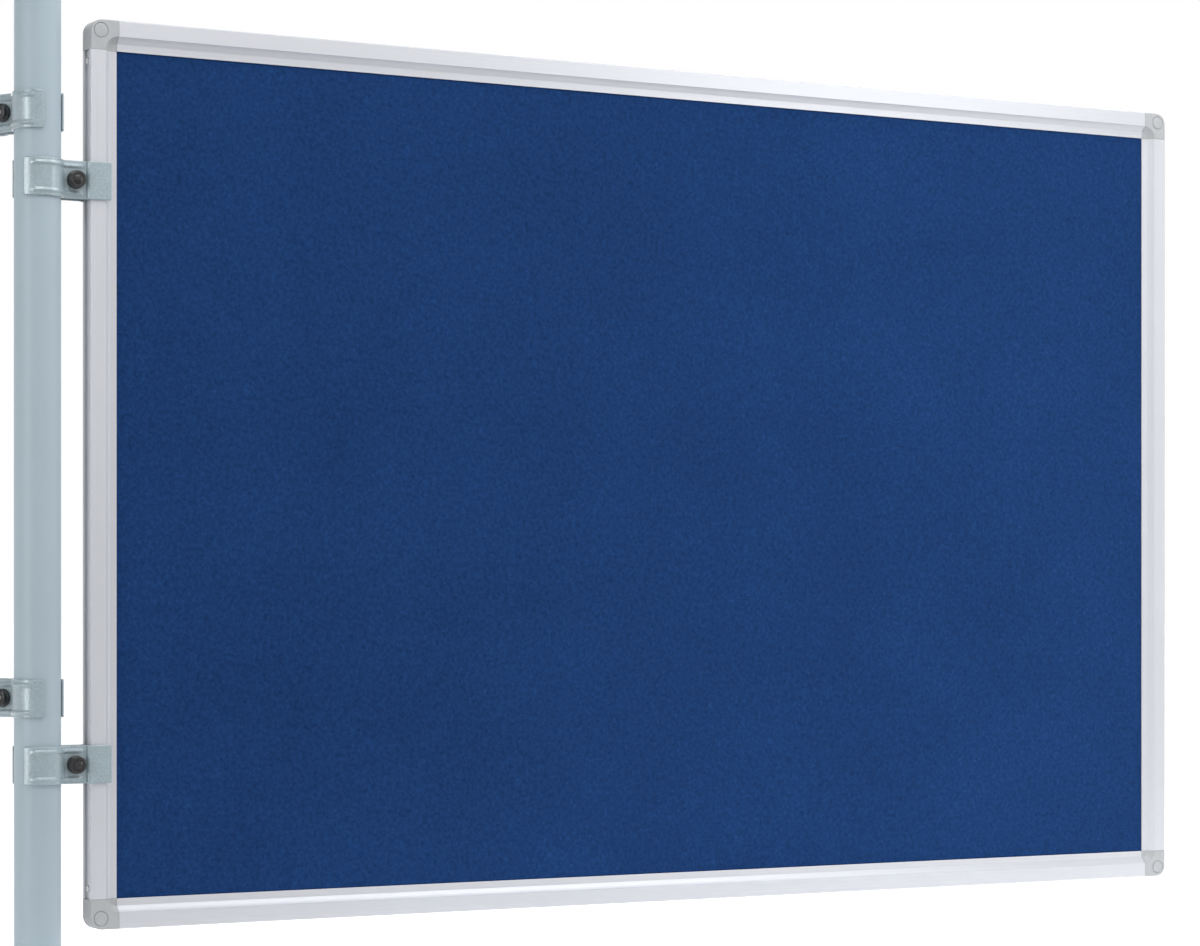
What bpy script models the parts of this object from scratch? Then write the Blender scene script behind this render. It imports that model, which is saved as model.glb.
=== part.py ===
"""Presentation board: a felt pinboard in an aluminium frame, clamped to a round steel post.

Metres, +Z up. The origin is the centre of the post's lower end, the board runs along +X
and its front faces -Y. Two clamps hold the board. Two more wait for a second board.
"""

import math

import bmesh
import bpy
from mathutils import Matrix

# Clearances and cuts, shared by the whole part
SEAT_GAP = 0.0003
OVERRUN = 0.001

# Share of a shallow dome's rise that is reached halfway to its middle
DOME_SHARE = 0.75

# Post
POST_RADIUS = 0.0255
POST_WALL = 0.002
POST_ABOVE_BOARD = 0.035
PLUG_FLANGE = 0.003
PLUG_CHAMFER = 0.0008
PLUG_STEM = 0.022
PLUG_WALL = 0.002
CAP_CROWN = 0.003

# Board
BOARD_WIDTH = 1.5
BOARD_HEIGHT = 1.0
BOARD_THICKNESS = 0.025
BOARD_RISE = 0.07
FELT_THICKNESS = 0.001

# Frame section: an outer band, a slope down to the lip, a channel for the panel behind the lip
FRAME_BAND = 0.0175
FRAME_SLOPE = 0.0075
FRAME_LIP = 0.008
FRAME_STEP = 0.007
FRAME_WALL = 0.0015
FRAME_EDGE_RADIUS = 0.0012
CHANNEL_DEPTH = 0.013
GROOVE_WIDTH = 0.014
GROOVE_DEPTH = 0.0022

# Corner pieces, their caps and their screws
CORNER_RADIUS = 0.014
ARM_LENGTH = 0.04
CAP_RADIUS = 0.00785
CAP_INSET = 0.012
CAP_SEAT_DEPTH = 0.0012
CAP_PROUD = 0.0004
CAP_STEM_RADIUS = 0.0048
CAP_STEM_LENGTH = 0.006
SCREW_INSET = 0.012
SCREW_RADIUS = 0.00175
SCREW_LENGTH = 0.012
SCREW_HEAD_RADIUS = 0.0032
SCREW_HEAD_HEIGHT = 0.0016
SCREW_HEAD_EDGE = 0.0008
SCREW_SOCKET_RADIUS = 0.0013
SCREW_SOCKET_DEPTH = 0.0008

# Clamp jaws, pressed from steel strip
STRIP_THICKNESS = 0.0025
LEAVE_ANGLE = math.radians(32)
STRAP_PAST_CENTRE = math.radians(55)
NECK_BEND_RADIUS = 0.004
NECK_DROP = 0.005
JOG_BEND_RADIUS = 0.00225
JOG_ANGLE = math.radians(75)
JOG_LEAD = 0.0009
WING_GRIP = 0.0235
JAW_ROUNDING = 0.003
BEAD_HALF_WIDTH = 0.0025
BEAD_HEIGHT = 0.0013
BEAD_TO_KNOB = 0.0023
BEAD_TO_EDGE = 0.006
BEAD_RAMP = 0.004

# Clamp screws: a steel stud in a plastic knob, and a nut behind the back jaw
KNOB_RADIUS = 0.0102
KNOB_MARGIN = 0.0012
KNOB_SKIRT = 0.003
KNOB_STEP = 0.0006
KNOB_BODY = 0.0065
KNOB_EDGE = 0.0014
KNOB_RING_RADIUS = 0.0056
KNOB_RING_WIDTH = 0.0011
KNOB_RING_DEPTH = 0.0006
KNOB_CROWN = 0.0008
STUD_RADIUS = 0.004
STUD_CHAMFER = 0.0008
STUD_PAST_NUT = 0.0035
COLLAR_RADIUS = 0.006
COLLAR_HEIGHT = 0.004
NUT_SIDES = 6
NUT_ACROSS_FLATS = 0.013
NUT_HEIGHT = 0.0065

# Clamp places on the post
RIGHT_CLAMP_DROP = 0.178
CLAMP_SPACING = 0.64
LEFT_CLAMP_RISE = 0.073
LEFT_CLAMP_ANGLE = math.radians(119)

# Facet counts, and the angles at which an edge counts as soft or as square
SMOOTH_ANGLE = math.radians(35)
SQUARE_ANGLE = math.radians(60)
POST_SEGMENTS = 40
PLUG_SEGMENTS = 32
KNOB_SEGMENTS = 18
STUD_SEGMENTS = 14
CAP_SEGMENTS = 20
SCREW_SEGMENTS = 10
EDGE_SEGMENTS = 2
CORNER_SEGMENTS = 8
RECESS_SEGMENTS = 32
STRAP_STEPS = 11
BEND_STEPS = 3
JOG_STEPS = 3

# Sizes worked out from the ones above
BOARD_HALF = BOARD_THICKNESS / 2
BOARD_TOP = BOARD_RISE + BOARD_HEIGHT
POST_LENGTH = BOARD_TOP + POST_ABOVE_BOARD
FRAME_FACE = FRAME_BAND + FRAME_SLOPE + FRAME_LIP
LIP_LEVEL = BOARD_HALF - FRAME_STEP
CHANNEL_HALF = LIP_LEVEL - FRAME_WALL
CHANNEL_FLOOR = FRAME_FACE - CHANNEL_DEPTH
HOLLOW_START = GROOVE_DEPTH + FRAME_WALL
HOLLOW_END = CHANNEL_FLOOR - FRAME_WALL
POST_BORE = POST_RADIUS - POST_WALL
STRAP_LEVEL = POST_RADIUS + SEAT_GAP + STRIP_THICKNESS / 2
WING_LEVEL = BOARD_HALF + SEAT_GAP + STRIP_THICKNESS / 2
NECK_LEVEL = WING_LEVEL - NECK_DROP
NECK_TURN = math.pi / 2 - LEAVE_ANGLE
NECK_CORNER = (
    STRAP_LEVEL * math.cos(LEAVE_ANGLE)
    + (STRAP_LEVEL * math.sin(LEAVE_ANGLE) - NECK_LEVEL) * math.tan(LEAVE_ANGLE)
)
NECK_START = NECK_CORNER + NECK_BEND_RADIUS * math.tan(NECK_TURN / 2)
SCREW_OFFSET = NECK_START + KNOB_MARGIN + KNOB_RADIUS
NECK_END = SCREW_OFFSET + KNOB_RADIUS + KNOB_MARGIN
JOG_BENDS_DROP = 2 * JOG_BEND_RADIUS * (1 - math.cos(JOG_ANGLE))
JOG_WALL_RUN = (NECK_DROP - JOG_BENDS_DROP) / math.tan(JOG_ANGLE)
JOG_RUN = 2 * JOG_BEND_RADIUS * math.sin(JOG_ANGLE) + JOG_WALL_RUN
BOARD_OFFSET = NECK_END + JOG_RUN + JOG_LEAD
BEAD_CENTRE = KNOB_RADIUS + BEAD_TO_KNOB + BEAD_HALF_WIDTH
JAW_HALF_HEIGHT = BEAD_CENTRE + BEAD_TO_EDGE
NECK_FACE = NECK_LEVEL + STRIP_THICKNESS / 2

# How far along its rounding each end station of a jaw lies
ROUNDING_SHARES = (0, 0.3, 1)

CORNER_NAMES = ("bottom_left", "bottom_right", "top_right", "top_left")
SIDE_NAMES = ("bottom", "right", "top", "left")

FINISHES = {
    "post_paint": ((0.34, 0.41, 0.46), 0.35, 0.0),
    "clamp_paint": ((0.37, 0.44, 0.48), 0.32, 0.4),
    "black_plastic": ((0.012, 0.012, 0.014), 0.3, 0.0),
    "zinc_steel": ((0.55, 0.56, 0.58), 0.35, 1.0),
    "anodised_aluminium": ((0.62, 0.64, 0.67), 0.35, 0.9),
    "corner_plastic": ((0.51, 0.54, 0.57), 0.45, 0.0),
    "blue_felt": ((0.014, 0.042, 0.15), 0.95, 0.0),
    "fibreboard": ((0.35, 0.25, 0.15), 0.85, 0.0),
}


def clear_scene():
    for item in list(bpy.data.objects):
        bpy.data.objects.remove(item, do_unlink=True)


def make_finish(name):
    colour, roughness, metallic = FINISHES[name]
    material = bpy.data.materials.new(name)
    material.use_nodes = True
    shader = material.node_tree.nodes["Principled BSDF"]
    shader.inputs["Base Color"].default_value = (*colour, 1.0)
    shader.inputs["Roughness"].default_value = roughness
    shader.inputs["Metallic"].default_value = metallic
    return material


def make_mark(name, parent=None, location=(0, 0, 0), rotation=(0, 0, 0)):
    """Add an empty that carries pieces."""
    mark = bpy.data.objects.new(name, None)
    bpy.context.scene.collection.objects.link(mark)
    mark.parent = parent
    mark.location = location
    mark.rotation_euler = rotation
    return mark


def place(name, mesh, finish, parent, location=(0, 0, 0), rotation=(0, 0, 0)):
    """Add a piece that shows mesh in the named finish."""
    if not mesh.materials:
        mesh.materials.append(bpy.data.materials.get(finish) or make_finish(finish))
    piece = bpy.data.objects.new(name, mesh)
    bpy.context.scene.collection.objects.link(piece)
    piece.parent = parent
    piece.location = location
    piece.rotation_euler = rotation
    return piece


def to_mesh(name, shape):
    """Turn a bmesh into a mesh that is smooth except at its sharp edges."""
    mesh = bpy.data.meshes.new(name)
    shape.to_mesh(mesh)
    shape.free()
    mesh.shade_smooth()
    mesh.set_sharp_from_angle(angle=SMOOTH_ANGLE)
    return mesh


def turned(profile, segments):
    """Spin a closed outline of (radius, height) points round Z."""
    shape = bmesh.new()
    turns = [2 * math.pi * step / segments for step in range(segments)]
    rings = []
    for radius, height in profile:
        if radius == 0:
            rings.append([shape.verts.new((0, 0, height))] * segments)
        else:
            ring = [(radius * math.cos(turn), radius * math.sin(turn), height) for turn in turns]
            rings.append([shape.verts.new(point) for point in ring])
    for ring, following in zip(rings, rings[1:] + rings[:1]):
        for near in range(segments):
            far = (near + 1) % segments
            corners = (ring[near], ring[far], following[far], following[near])
            corners = list(dict.fromkeys(corners))
            if len(corners) > 2:
                shape.faces.new(corners)
    bmesh.ops.recalc_face_normals(shape, faces=shape.faces)
    return shape


def prism(outline, holes, low, high):
    """Extrude a plan outline, with holes, from low to high along Z."""
    shape = bmesh.new()
    rims = []
    for loop in (outline, *holes):
        verts = [shape.verts.new((x, y, low)) for x, y in loop]
        rims += [shape.edges.new(pair) for pair in zip(verts, verts[1:] + verts[:1])]
    bmesh.ops.triangle_fill(shape, use_beauty=True, edges=rims)
    grown = bmesh.ops.extrude_face_region(shape, geom=shape.faces[:])["geom"]
    lifted = [item for item in grown if isinstance(item, bmesh.types.BMVert)]
    bmesh.ops.translate(shape, vec=(0, 0, high - low), verts=lifted)
    bmesh.ops.recalc_face_normals(shape, faces=shape.faces)
    return shape


def block(low, high):
    """Return a box between two corners."""
    (left, front, bottom), (right, back, top) = low, high
    outline = [(left, front), (right, front), (right, back), (left, back)]
    return prism(outline, [], bottom, top)


def moved(shape, matrix):
    bmesh.ops.transform(shape, matrix=matrix, verts=shape.verts)
    return shape


def joined(shapes):
    """Gather separate shapes into one bmesh."""
    whole = bmesh.new()
    for shape in shapes:
        mesh = bpy.data.meshes.new("gathered")
        shape.to_mesh(mesh)
        shape.free()
        whole.from_mesh(mesh)
        bpy.data.meshes.remove(mesh)
    return whole


def combined(shape, tool, operation):
    """Join tool to shape, or cut it away, and return the result as a bmesh."""
    items = []
    for part in (shape, tool):
        mesh = bpy.data.meshes.new("combined")
        part.to_mesh(mesh)
        part.free()
        item = bpy.data.objects.new("combined", mesh)
        bpy.context.scene.collection.objects.link(item)
        items.append(item)
    modifier = items[0].modifiers.new("combine", "BOOLEAN")
    modifier.operation = operation
    modifier.solver = "EXACT"
    modifier.object = items[1]
    bpy.context.view_layer.update()
    graph = bpy.context.evaluated_depsgraph_get()
    mesh = bpy.data.meshes.new_from_object(items[0].evaluated_get(graph))
    result = bmesh.new()
    result.from_mesh(mesh)
    bpy.data.meshes.remove(mesh)
    for item in items:
        bpy.data.objects.remove(item, do_unlink=True)
    return result


def arc(centre, radius, start, end, steps):
    """Return the points of an arc, both ends included."""
    points = []
    for step in range(steps + 1):
        turn = start + (end - start) * step / steps
        points.append((centre[0] + radius * math.cos(turn), centre[1] + radius * math.sin(turn)))
    return points


def circle(centre, radius, segments):
    return arc(centre, radius, 0, 2 * math.pi, segments)[:-1]


def mirrored(points):
    """Return the points followed by their mirror images in the second coordinate."""
    return points + [(x, -y) for x, y in reversed(points)]


def post_tube_shape():
    bottom = PLUG_FLANGE + SEAT_GAP
    profile = [
        (POST_RADIUS, POST_LENGTH),
        (POST_RADIUS, bottom),
        (POST_BORE, bottom),
        (POST_BORE, POST_LENGTH),
    ]
    return turned(profile, POST_SEGMENTS)


def post_plug_shape(crown):
    """An end plug with its stem along +Z and its flange seated at height zero."""
    stem_radius = POST_BORE - SEAT_GAP
    bore_radius = stem_radius - PLUG_WALL
    profile = [
        (0, -PLUG_FLANGE - crown),
        ((POST_RADIUS - PLUG_CHAMFER) / 2, -PLUG_FLANGE - crown * DOME_SHARE),
        (POST_RADIUS - PLUG_CHAMFER, -PLUG_FLANGE),
        (POST_RADIUS, -PLUG_FLANGE + PLUG_CHAMFER),
        (POST_RADIUS, 0),
        (stem_radius, 0),
        (stem_radius, PLUG_STEM),
        (bore_radius, PLUG_STEM),
        (bore_radius, 0),
        (0, 0),
    ]
    return turned(profile, PLUG_SEGMENTS)


def build_post():
    place("post_tube", to_mesh("post_tube", post_tube_shape()), "post_paint", None)
    foot = to_mesh("post_foot_plug", post_plug_shape(0))
    place("post_foot_plug", foot, "black_plastic", None, (0, 0, PLUG_FLANGE))
    top = to_mesh("post_top_cap", post_plug_shape(CAP_CROWN))
    seat = (0, 0, POST_LENGTH + SEAT_GAP)
    place("post_top_cap", top, "black_plastic", None, seat, (math.pi, 0, 0))


def slope_inside(inset):
    """Height of the slope's inner face above the board's middle, at an inset from the outer edge."""
    length = math.hypot(FRAME_SLOPE, FRAME_STEP)
    start_inset = FRAME_BAND - FRAME_WALL * FRAME_STEP / length
    start_height = BOARD_HALF - FRAME_WALL * FRAME_SLOPE / length
    return start_height - (inset - start_inset) * FRAME_STEP / FRAME_SLOPE


def slope_inside_inset(height):
    """Inset at which the slope's inner face has a height above the board's middle."""
    edge = slope_inside(FRAME_BAND)
    return FRAME_BAND + (edge - height) * FRAME_SLOPE / FRAME_STEP


def frame_section():
    """Return the outline and the hollow of a bar as (inset, depth) points."""
    groove_half = GROOVE_WIDTH / 2
    edge_centre = (FRAME_EDGE_RADIUS, BOARD_HALF - FRAME_EDGE_RADIUS)
    upper = [
        (GROOVE_DEPTH, groove_half),
        (0, groove_half),
        *arc(edge_centre, FRAME_EDGE_RADIUS, math.pi, math.pi / 2, EDGE_SEGMENTS),
        (FRAME_BAND, BOARD_HALF),
        (FRAME_BAND + FRAME_SLOPE, LIP_LEVEL),
        (FRAME_FACE, LIP_LEVEL),
        (FRAME_FACE, CHANNEL_HALF),
        (slope_inside_inset(CHANNEL_HALF), CHANNEL_HALF),
        (CHANNEL_FLOOR, slope_inside(CHANNEL_FLOOR)),
    ]
    skin = BOARD_HALF - FRAME_WALL
    hollow = [
        (HOLLOW_START, skin),
        (slope_inside_inset(skin), skin),
        (HOLLOW_END, slope_inside(HOLLOW_END)),
    ]
    return mirrored(upper), mirrored(hollow)


def screw_path(start, end):
    """A round cutter for a corner screw, along +Z."""
    return prism(circle((0, 0), SCREW_RADIUS + SEAT_GAP, SCREW_SEGMENTS), [], start, end)


def bar_mesh(name, side):
    """A bar along +X, its outer face at height zero, with a screw hole near each end."""
    end = FRAME_FACE + SEAT_GAP
    outline, hollow = frame_section()
    bar = prism(outline, [hollow], end, side - end)
    upright = Matrix.Rotation(math.pi, 4, "X") @ Matrix.Rotation(math.pi / 2, 4, "Y")
    bar = moved(bar, upright)
    reach = FRAME_FACE + SCREW_INSET
    holes = []
    for place_x in (reach, side - reach):
        hole = screw_path(0, HOLLOW_START + OVERRUN)
        holes.append(moved(hole, Matrix.Translation((place_x, 0, 0))))
    return to_mesh(name, combined(bar, joined(holes), "DIFFERENCE"))


def corner_body():
    """The square block of a corner piece, its outer corner round and its outer edges softened."""
    centre = (CORNER_RADIUS, CORNER_RADIUS)
    outline = arc(centre, CORNER_RADIUS, math.pi, 3 * math.pi / 2, CORNER_SEGMENTS)
    outline += [(FRAME_FACE, 0), (FRAME_FACE, FRAME_FACE), (0, FRAME_FACE)]
    body = prism(outline, [], -BOARD_HALF, BOARD_HALF)
    body = moved(body, Matrix.Rotation(math.pi / 2, 4, "X"))

    def is_outer(edge):
        level = all(abs(abs(vert.co.y) - BOARD_HALF) < SEAT_GAP for vert in edge.verts)
        middle = (edge.verts[0].co + edge.verts[1].co) / 2
        inside = max(middle.x, middle.z) < FRAME_FACE - SEAT_GAP
        return level and inside and edge.calc_face_angle() > SQUARE_ANGLE

    rim = [edge for edge in body.edges if is_outer(edge)]
    bmesh.ops.bevel(
        body,
        geom=rim,
        offset=FRAME_EDGE_RADIUS,
        segments=EDGE_SEGMENTS,
        affect="EDGES",
    )
    return body


def corner_arms():
    """The two arms of a corner piece, which fill the hollows of its bars."""
    half = slope_inside(HOLLOW_END) - SEAT_GAP
    low = HOLLOW_START + SEAT_GAP
    high = HOLLOW_END - SEAT_GAP
    start = FRAME_FACE - OVERRUN
    end = FRAME_FACE + ARM_LENGTH
    along_x = block((start, -half, low), (end, half, high))
    along_z = block((low, -half, start), (high, half, end))
    return joined([along_x, along_z])


def corner_cuts():
    """The recesses, the panel's slot, the cap bore and the screw holes of a corner piece."""
    cuts = []
    outside = BOARD_HALF + OVERRUN
    flat = Matrix.Rotation(math.pi / 2, 4, "X")
    recess_radius = FRAME_LIP + FRAME_SLOPE
    overrun_radius = recess_radius + OVERRUN * FRAME_SLOPE / FRAME_STEP
    for side in (1, -1):
        recess = [
            (0, side * LIP_LEVEL),
            (FRAME_LIP, side * LIP_LEVEL),
            (overrun_radius, side * outside),
            (0, side * outside),
        ]
        recess = moved(turned(recess, RECESS_SEGMENTS), flat)
        cuts.append(moved(recess, Matrix.Translation((FRAME_FACE, 0, FRAME_FACE))))
    far = FRAME_FACE + OVERRUN
    slot_low = (CHANNEL_FLOOR, -CHANNEL_HALF, CHANNEL_FLOOR)
    cuts.append(block(slot_low, (far, CHANNEL_HALF, far)))
    seat = BOARD_HALF - CAP_SEAT_DEPTH
    wide = CAP_RADIUS + SEAT_GAP
    narrow = CAP_STEM_RADIUS + SEAT_GAP
    bore = [(0, outside), (wide, outside), (wide, seat), (narrow, seat)]
    bore += [(radius, -height) for radius, height in reversed(bore)]
    bore = moved(turned(bore, CAP_SEGMENTS), flat)
    cuts.append(moved(bore, Matrix.Translation((CAP_INSET, 0, CAP_INSET))))
    depth = HOLLOW_START + SEAT_GAP + SCREW_LENGTH
    reach = FRAME_FACE + SCREW_INSET
    cuts.append(moved(screw_path(0, depth), Matrix.Translation((reach, 0, 0))))
    sideways = Matrix.Translation((0, 0, reach)) @ Matrix.Rotation(math.pi / 2, 4, "Y")
    cuts.append(moved(screw_path(0, depth), sideways))
    return joined(cuts)


def corner_mesh():
    """A corner piece, its outer corner at the origin and its arms along +X and +Z."""
    solid = combined(corner_body(), corner_arms(), "UNION")
    return to_mesh("corner_piece", combined(solid, corner_cuts(), "DIFFERENCE"))


def corner_cap_mesh():
    """A round cap, seated at height zero, its face along +Z."""
    face = CAP_SEAT_DEPTH - SEAT_GAP
    profile = [
        (0, face + CAP_PROUD),
        (CAP_RADIUS / 2, face + CAP_PROUD * DOME_SHARE),
        (CAP_RADIUS, face),
        (CAP_RADIUS, 0),
        (CAP_STEM_RADIUS, 0),
        (CAP_STEM_RADIUS, -CAP_STEM_LENGTH),
        (0, -CAP_STEM_LENGTH),
    ]
    return to_mesh("corner_cap", turned(profile, CAP_SEGMENTS))


def corner_screw_mesh():
    """A corner screw, the underside of its head at height zero and its head along +Z."""
    rim_centre = (SCREW_HEAD_RADIUS - SCREW_HEAD_EDGE, SCREW_HEAD_HEIGHT - SCREW_HEAD_EDGE)
    rim = arc(rim_centre, SCREW_HEAD_EDGE, 0, math.pi / 2, EDGE_SEGMENTS)
    profile = [
        (0, SCREW_HEAD_HEIGHT - SCREW_SOCKET_DEPTH),
        (SCREW_SOCKET_RADIUS, SCREW_HEAD_HEIGHT - SCREW_SOCKET_DEPTH),
        (SCREW_SOCKET_RADIUS, SCREW_HEAD_HEIGHT),
        *reversed(rim),
        (SCREW_HEAD_RADIUS, 0),
        (SCREW_RADIUS, 0),
        (SCREW_RADIUS, -SCREW_LENGTH + SCREW_RADIUS),
        (0, -SCREW_LENGTH),
    ]
    return to_mesh("corner_screw", turned(profile, SCREW_SEGMENTS))


def build_frame(board):
    """Lay the four sides round the board, each from its own corner."""
    far_x = BOARD_OFFSET + BOARD_WIDTH
    places = (
        (BOARD_OFFSET, 0, BOARD_RISE),
        (far_x, 0, BOARD_RISE),
        (far_x, 0, BOARD_TOP),
        (BOARD_OFFSET, 0, BOARD_TOP),
    )
    flat_bar = bar_mesh("flat_bar", BOARD_WIDTH)
    upright_bar = bar_mesh("upright_bar", BOARD_HEIGHT)
    corner_piece = corner_mesh()
    cap = corner_cap_mesh()
    screw = corner_screw_mesh()
    cap_level = BOARD_HALF - CAP_SEAT_DEPTH + SEAT_GAP
    screw_level = GROOVE_DEPTH - SEAT_GAP
    reach = FRAME_FACE + SCREW_INSET
    for index, (corner, side) in enumerate(zip(CORNER_NAMES, SIDE_NAMES)):
        turn = (0, -index * math.pi / 2, 0)
        mark = make_mark(f"{corner}_mark", board, places[index], turn)
        bar = upright_bar if index % 2 else flat_bar
        place(f"frame_{side}", bar, "anodised_aluminium", mark)
        place(f"{corner}_corner", corner_piece, "corner_plastic", mark)
        for face, sign in (("front", 1), ("back", -1)):
            location = (CAP_INSET, -sign * cap_level, CAP_INSET)
            turn = (sign * math.pi / 2, 0, 0)
            place(f"{corner}_cap_{face}", cap, "corner_plastic", mark, location, turn)
        location = (reach, 0, screw_level)
        place(f"{corner}_screw_{side}", screw, "zinc_steel", mark, location, (math.pi, 0, 0))
        location = (screw_level, 0, reach)
        turn = (0, -math.pi / 2, 0)
        last = SIDE_NAMES[index - 1]
        place(f"{corner}_screw_{last}", screw, "zinc_steel", mark, location, turn)


def sheet_mesh(name, front, back):
    """A panel or felt sheet that fills the frame's channel, from depth front to depth back."""
    inset = CHANNEL_FLOOR + SEAT_GAP
    low = (BOARD_OFFSET + inset, front, BOARD_RISE + inset)
    high = (BOARD_OFFSET + BOARD_WIDTH - inset, back, BOARD_TOP - inset)
    return to_mesh(name, block(low, high))


def build_panel(board):
    felt_face = CHANNEL_HALF - SEAT_GAP
    felt_seat = felt_face - FELT_THICKNESS
    core_face = felt_seat - SEAT_GAP
    front = sheet_mesh("felt_front", -felt_face, -felt_seat)
    place("felt_front", front, "blue_felt", board)
    core = sheet_mesh("core_panel", -core_face, core_face)
    place("core_panel", core, "fibreboard", board)
    back = sheet_mesh("felt_back", felt_seat, felt_face)
    place("felt_back", back, "blue_felt", board)


def jaw_stations():
    """Middle line of a front jaw in plan, from the wing's end to the strap's end.

    Each station is (x, y, how far its edge is cut back, share of the bead's height).
    """
    stations = []
    wing_end = BOARD_OFFSET + WING_GRIP

    def cut_back(share):
        return JAW_ROUNDING * (1 - math.sqrt(1 - (1 - share) ** 2))

    for share in ROUNDING_SHARES:
        stations.append((wing_end - share * JAW_ROUNDING, -WING_LEVEL, cut_back(share), 0))
    wing_bend = (NECK_END + JOG_RUN, JOG_BEND_RADIUS - WING_LEVEL)
    neck_bend = (NECK_END, -JOG_BEND_RADIUS - NECK_LEVEL)
    square = math.pi / 2
    jog = arc(wing_bend, JOG_BEND_RADIUS, -square, -square - JOG_ANGLE, JOG_STEPS)
    jog += arc(neck_bend, JOG_BEND_RADIUS, square - JOG_ANGLE, square, JOG_STEPS)
    stations += [(x, y, 0, 0) for x, y in jog]
    stations.append((NECK_END - BEAD_RAMP, -NECK_LEVEL, 0, 1))
    bend = (NECK_START, -NECK_LEVEL - NECK_BEND_RADIUS)
    for x, y in arc(bend, NECK_BEND_RADIUS, square, square + NECK_TURN, BEND_STEPS):
        stations.append((x, y, 0, 1))
    strap_end = -square - STRAP_PAST_CENTRE
    rounding_start = strap_end + JAW_ROUNDING / STRAP_LEVEL
    strap = arc((0, 0), STRAP_LEVEL, -LEAVE_ANGLE, rounding_start, STRAP_STEPS)
    for index, (x, y) in enumerate(strap):
        stations.append((x, y, 0, 1 if index < STRAP_STEPS - 1 else 0))
    for share in reversed(ROUNDING_SHARES[:-1]):
        turn = strap_end + share * JAW_ROUNDING / STRAP_LEVEL
        x = STRAP_LEVEL * math.cos(turn)
        y = STRAP_LEVEL * math.sin(turn)
        stations.append((x, y, cut_back(share), 0))
    return stations


def jaw_rows():
    """Heights across a jaw, each with its share of the bead's height."""
    upper = [
        (JAW_HALF_HEIGHT, 0),
        (BEAD_CENTRE + BEAD_HALF_WIDTH, 0),
        (BEAD_CENTRE, 1),
        (BEAD_CENTRE - BEAD_HALF_WIDTH, 0),
    ]
    return upper + [(-height, bead) for height, bead in reversed(upper)]


def jaw_mesh():
    """A front jaw: wing, jog, neck, bend and strap as one bent strip with two beads and a hole."""
    stations = jaw_stations()
    rows = jaw_rows()
    shape = bmesh.new()
    faces = []
    for side in (STRIP_THICKNESS / 2, -STRIP_THICKNESS / 2):
        grid = []
        for index, (x, y, cut, bead_share) in enumerate(stations):
            before = stations[max(index - 1, 0)]
            after = stations[min(index + 1, len(stations) - 1)]
            run_x = after[0] - before[0]
            run_y = after[1] - before[1]
            length = math.hypot(run_x, run_y)
            column = []
            for height, bead in rows:
                out = side + BEAD_HEIGHT * bead * bead_share
                level = height * (JAW_HALF_HEIGHT - cut) / JAW_HALF_HEIGHT
                point = (x - out * run_y / length, y + out * run_x / length, level)
                column.append(shape.verts.new(point))
            grid.append(column)
        faces.append(grid)
    outer, inner = faces
    last = len(rows) - 1
    for near in range(len(stations) - 1):
        far = near + 1
        for grid in faces:
            for row in range(last):
                shape.faces.new((grid[near][row], grid[far][row], grid[far][row + 1], grid[near][row + 1]))
        for row in (0, last):
            shape.faces.new((outer[near][row], outer[far][row], inner[far][row], inner[near][row]))
    for column in (0, len(stations) - 1):
        for row in range(last):
            upper = (outer[column][row], inner[column][row])
            lower = (inner[column][row + 1], outer[column][row + 1])
            shape.faces.new(upper + lower)
    bmesh.ops.recalc_face_normals(shape, faces=shape.faces)
    deep = NECK_FACE + OVERRUN
    hole = prism(circle((0, 0), STUD_RADIUS + SEAT_GAP, STUD_SEGMENTS), [], 0, deep)
    hole = moved(hole, Matrix.Rotation(math.pi / 2, 4, "X"))
    hole = moved(hole, Matrix.Translation((SCREW_OFFSET, 0, 0)))
    return to_mesh("jaw", combined(shape, hole, "DIFFERENCE"))


def knob_mesh():
    """A knob, its base at height zero and its face along +Z, with a pocket for the stud's collar."""
    body_radius = KNOB_RADIUS - KNOB_STEP
    top = KNOB_SKIRT + KNOB_BODY
    ring_outer = KNOB_RING_RADIUS + KNOB_RING_WIDTH / 2
    ring_inner = KNOB_RING_RADIUS - KNOB_RING_WIDTH / 2
    pocket_radius = COLLAR_RADIUS + SEAT_GAP
    pocket_depth = COLLAR_HEIGHT + SEAT_GAP
    profile = [
        (pocket_radius, 0),
        (KNOB_RADIUS, 0),
        (KNOB_RADIUS, KNOB_SKIRT),
        (body_radius, KNOB_SKIRT + KNOB_STEP),
        *arc((body_radius - KNOB_EDGE, top - KNOB_EDGE), KNOB_EDGE, 0, math.pi / 2, EDGE_SEGMENTS),
        (ring_outer, top),
        (KNOB_RING_RADIUS, top - KNOB_RING_DEPTH),
        (ring_inner, top),
        (0, top + KNOB_CROWN),
        (0, pocket_depth),
        (pocket_radius, pocket_depth),
    ]
    return to_mesh("knob", turned(profile, KNOB_SEGMENTS))


def stud_mesh():
    """A stud along +Z, the underside of its collar at height zero."""
    nut_seat = -2 * (NECK_FACE + SEAT_GAP)
    end = nut_seat - NUT_HEIGHT - STUD_PAST_NUT
    profile = [
        (0, COLLAR_HEIGHT),
        (COLLAR_RADIUS, COLLAR_HEIGHT),
        (COLLAR_RADIUS, 0),
        (STUD_RADIUS, 0),
        (STUD_RADIUS, end + STUD_CHAMFER),
        (STUD_RADIUS - STUD_CHAMFER, end),
        (0, end),
    ]
    return to_mesh("stud", turned(profile, STUD_SEGMENTS))


def nut_mesh():
    """A hexagon nut, seated at height zero, along +Z."""
    radius = NUT_ACROSS_FLATS / 2 / math.cos(math.pi / NUT_SIDES)
    bore = circle((0, 0), STUD_RADIUS + SEAT_GAP, STUD_SEGMENTS)
    return to_mesh("nut", prism(circle((0, 0), radius, NUT_SIDES), [bore], 0, NUT_HEIGHT))


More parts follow.
